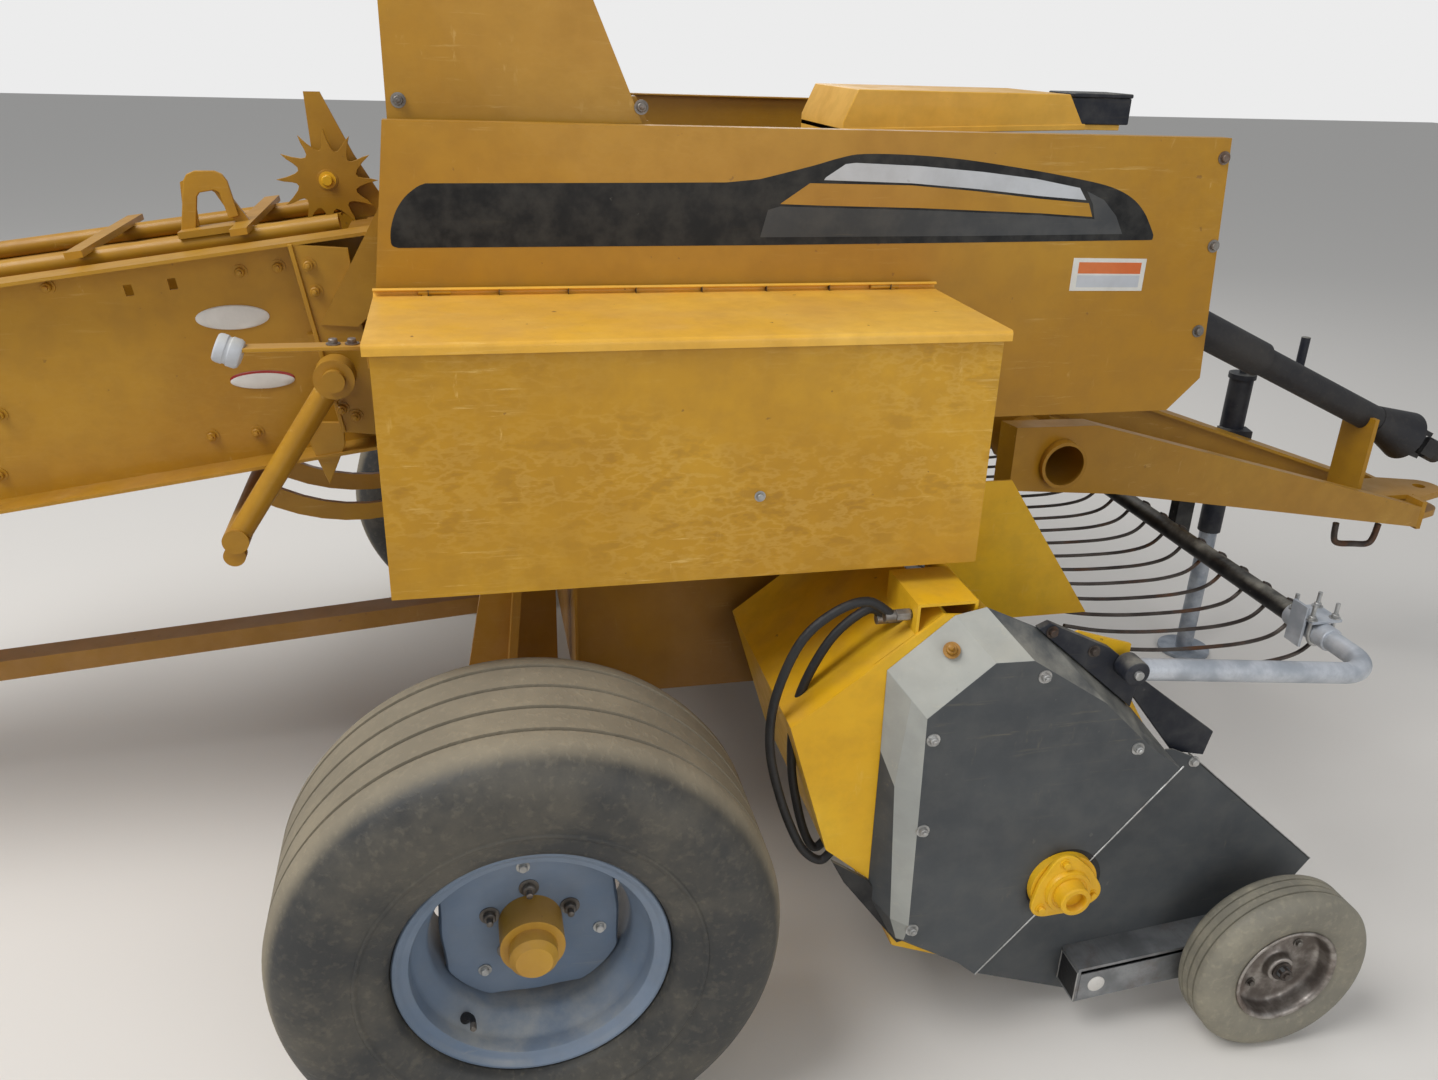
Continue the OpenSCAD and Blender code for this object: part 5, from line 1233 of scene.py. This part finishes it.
class OBJECT_OT_baler_stage(bpy.types.Operator):
    """Set the floor, the soft lights and the camera at the photograph's view"""

    bl_idname = "object.baler_stage"
    bl_label = "Stage"

    def execute(self, context):
        settings = context.scene.baler_sizes
        self.set_floor()
        self.set_world(context.scene)
        self.add_light("Key light", (-3.2, -1.6, 5.6), (0.2, 0, 0.8), 4.0, settings.key_power)
        self.add_light("Fill light", (1.8, -6.0, 2.6), (0.2, 0, 0.9), 4.5, settings.fill_power)
        self.add_light("Back light", (1.5, 5.5, 4.0), (0, 0, 0.9), 4.0, settings.fill_power * 0.8)
        self.set_camera(context.scene)
        context.scene.view_settings.view_transform = "Standard"
        return {"FINISHED"}

    def set_floor(self):
        """A pale floor, as a grid in x and y that rises nowhere."""
        steps = np.linspace(-30, 30, 13)
        x, y = np.meshgrid(steps, steps, indexing="ij")
        points = np.stack([x, y, np.full_like(x, -0.0005)], -1).reshape(-1, 3)
        mesh = bpy.data.meshes.new("Floor")
        mesh.from_pydata(points.tolist(), [], grid_faces(13, 13))
        floor = bpy.data.objects.new("Floor", mesh)
        bpy.context.scene.collection.objects.link(floor)
        material = bpy.data.materials.new("Pale floor")
        material.use_nodes = True
        tree = material.node_tree
        shader = tree.nodes["Principled BSDF"]
        set_inputs(tree, shader, {"Base Color": linear(226, 222, 216), "Roughness": 0.85})
        mesh.materials.append(material)

    def set_world(self, scene):
        """A plain world that lights softly and is nearly white where the camera sees it."""
        world = bpy.data.worlds.new("Studio")
        world.use_nodes = True
        scene.world = world
        tree = world.node_tree
        soft = set_inputs(tree, tree.nodes["Background"], {"Color": (0.93, 0.96, 1.0, 1), "Strength": 0.4})
        seen = tree.nodes.new("ShaderNodeBackground")
        set_inputs(tree, seen, {"Color": linear(236, 236, 236), "Strength": 1})
        path = tree.nodes.new("ShaderNodeLightPath").outputs
        shown = number(tree, "MAXIMUM", path["Is Camera Ray"], path["Is Transmission Ray"])
        choose = tree.nodes.new("ShaderNodeMixShader")
        set_inputs(tree, choose, {0: shown, 1: soft.outputs[0], 2: seen.outputs[0]})
        tree.links.new(choose.outputs[0], tree.nodes["World Output"].inputs[0])

    def add_light(self, name, place, target, size, power):
        """A round soft light at a place, turned to its target."""
        data = bpy.data.lights.new(name, "AREA")
        data.shape = "DISK"
        data.size = size
        data.energy = power
        light = bpy.data.objects.new(name, data)
        light.location = place
        light.rotation_euler = (Vector(target) - Vector(place)).to_track_quat("-Z", "Y").to_euler()
        bpy.context.scene.collection.objects.link(light)

    def set_camera(self, scene):
        """The camera's axes from its turn, tilt and roll, as fitted to the photograph."""
        turn, tilt, roll = np.radians(CAMERA_ANGLES)
        ahead = np.array([np.sin(turn) * np.cos(tilt), np.cos(turn) * np.cos(tilt), -np.sin(tilt)])
        right = np.array([np.cos(turn), -np.sin(turn), 0.0])
        down = np.cross(ahead, right)
        across = np.cos(roll) * right + np.sin(roll) * down
        below = -np.sin(roll) * right + np.cos(roll) * down
        data = bpy.data.cameras.new("Camera")
        data.sensor_fit = "HORIZONTAL"
        data.sensor_width = 36.0
        data.lens = data.sensor_width * FOCAL_PIXELS / IMAGE_WIDTH
        camera = bpy.data.objects.new("Camera", data)
        rows = np.column_stack([across, -below, -ahead, CAMERA_PLACE]).tolist()
        camera.matrix_world = Matrix([*rows, [0, 0, 0, 1]])
        scene.collection.objects.link(camera)
        scene.camera = camera


class VIEW3D_PT_baler(bpy.types.Panel):
    """The machine's sizes and every step that dresses it, in order"""

    bl_idname = "VIEW3D_PT_baler"
    bl_label = "Baler"
    bl_space_type = "VIEW_3D"
    bl_region_type = "UI"
    bl_category = "Baler"

    def draw(self, context):
        for name in BalerSizes.__annotations__:
            self.layout.prop(context.scene.baler_sizes, name)
        for cls in CLASSES:
            if issubclass(cls, bpy.types.Operator):
                self.layout.operator(cls.bl_idname)


CLASSES = (
    BalerSizes, OBJECT_OT_baler_finishes, OBJECT_OT_baler_tyres, OBJECT_OT_baler_rims,
    OBJECT_OT_baler_gauge_rims, OBJECT_OT_baler_stripes, OBJECT_OT_baler_bolts, OBJECT_OT_baler_bearings,
    OBJECT_OT_baler_lamps, OBJECT_OT_baler_hoses, OBJECT_OT_baler_windguard, OBJECT_OT_baler_lids,
    OBJECT_OT_baler_hood, OBJECT_OT_baler_posts, OBJECT_OT_baler_star_wheel, OBJECT_OT_baler_shields,
    OBJECT_OT_baler_pickup_plates, OBJECT_OT_baler_stage, VIEW3D_PT_baler,
)


def register():
    for cls in CLASSES:
        bpy.utils.register_class(cls)
    bpy.types.Scene.baler_sizes = bpy.props.PointerProperty(type=BalerSizes)


def unregister():
    del bpy.types.Scene.baler_sizes
    for cls in reversed(CLASSES):
        bpy.utils.unregister_class(cls)


def main():
    register()
    for cls in CLASSES:
        if issubclass(cls, bpy.types.Operator):
            getattr(bpy.ops.object, cls.bl_idname.split(".")[1])()


if __name__ == "__main__":
    main()
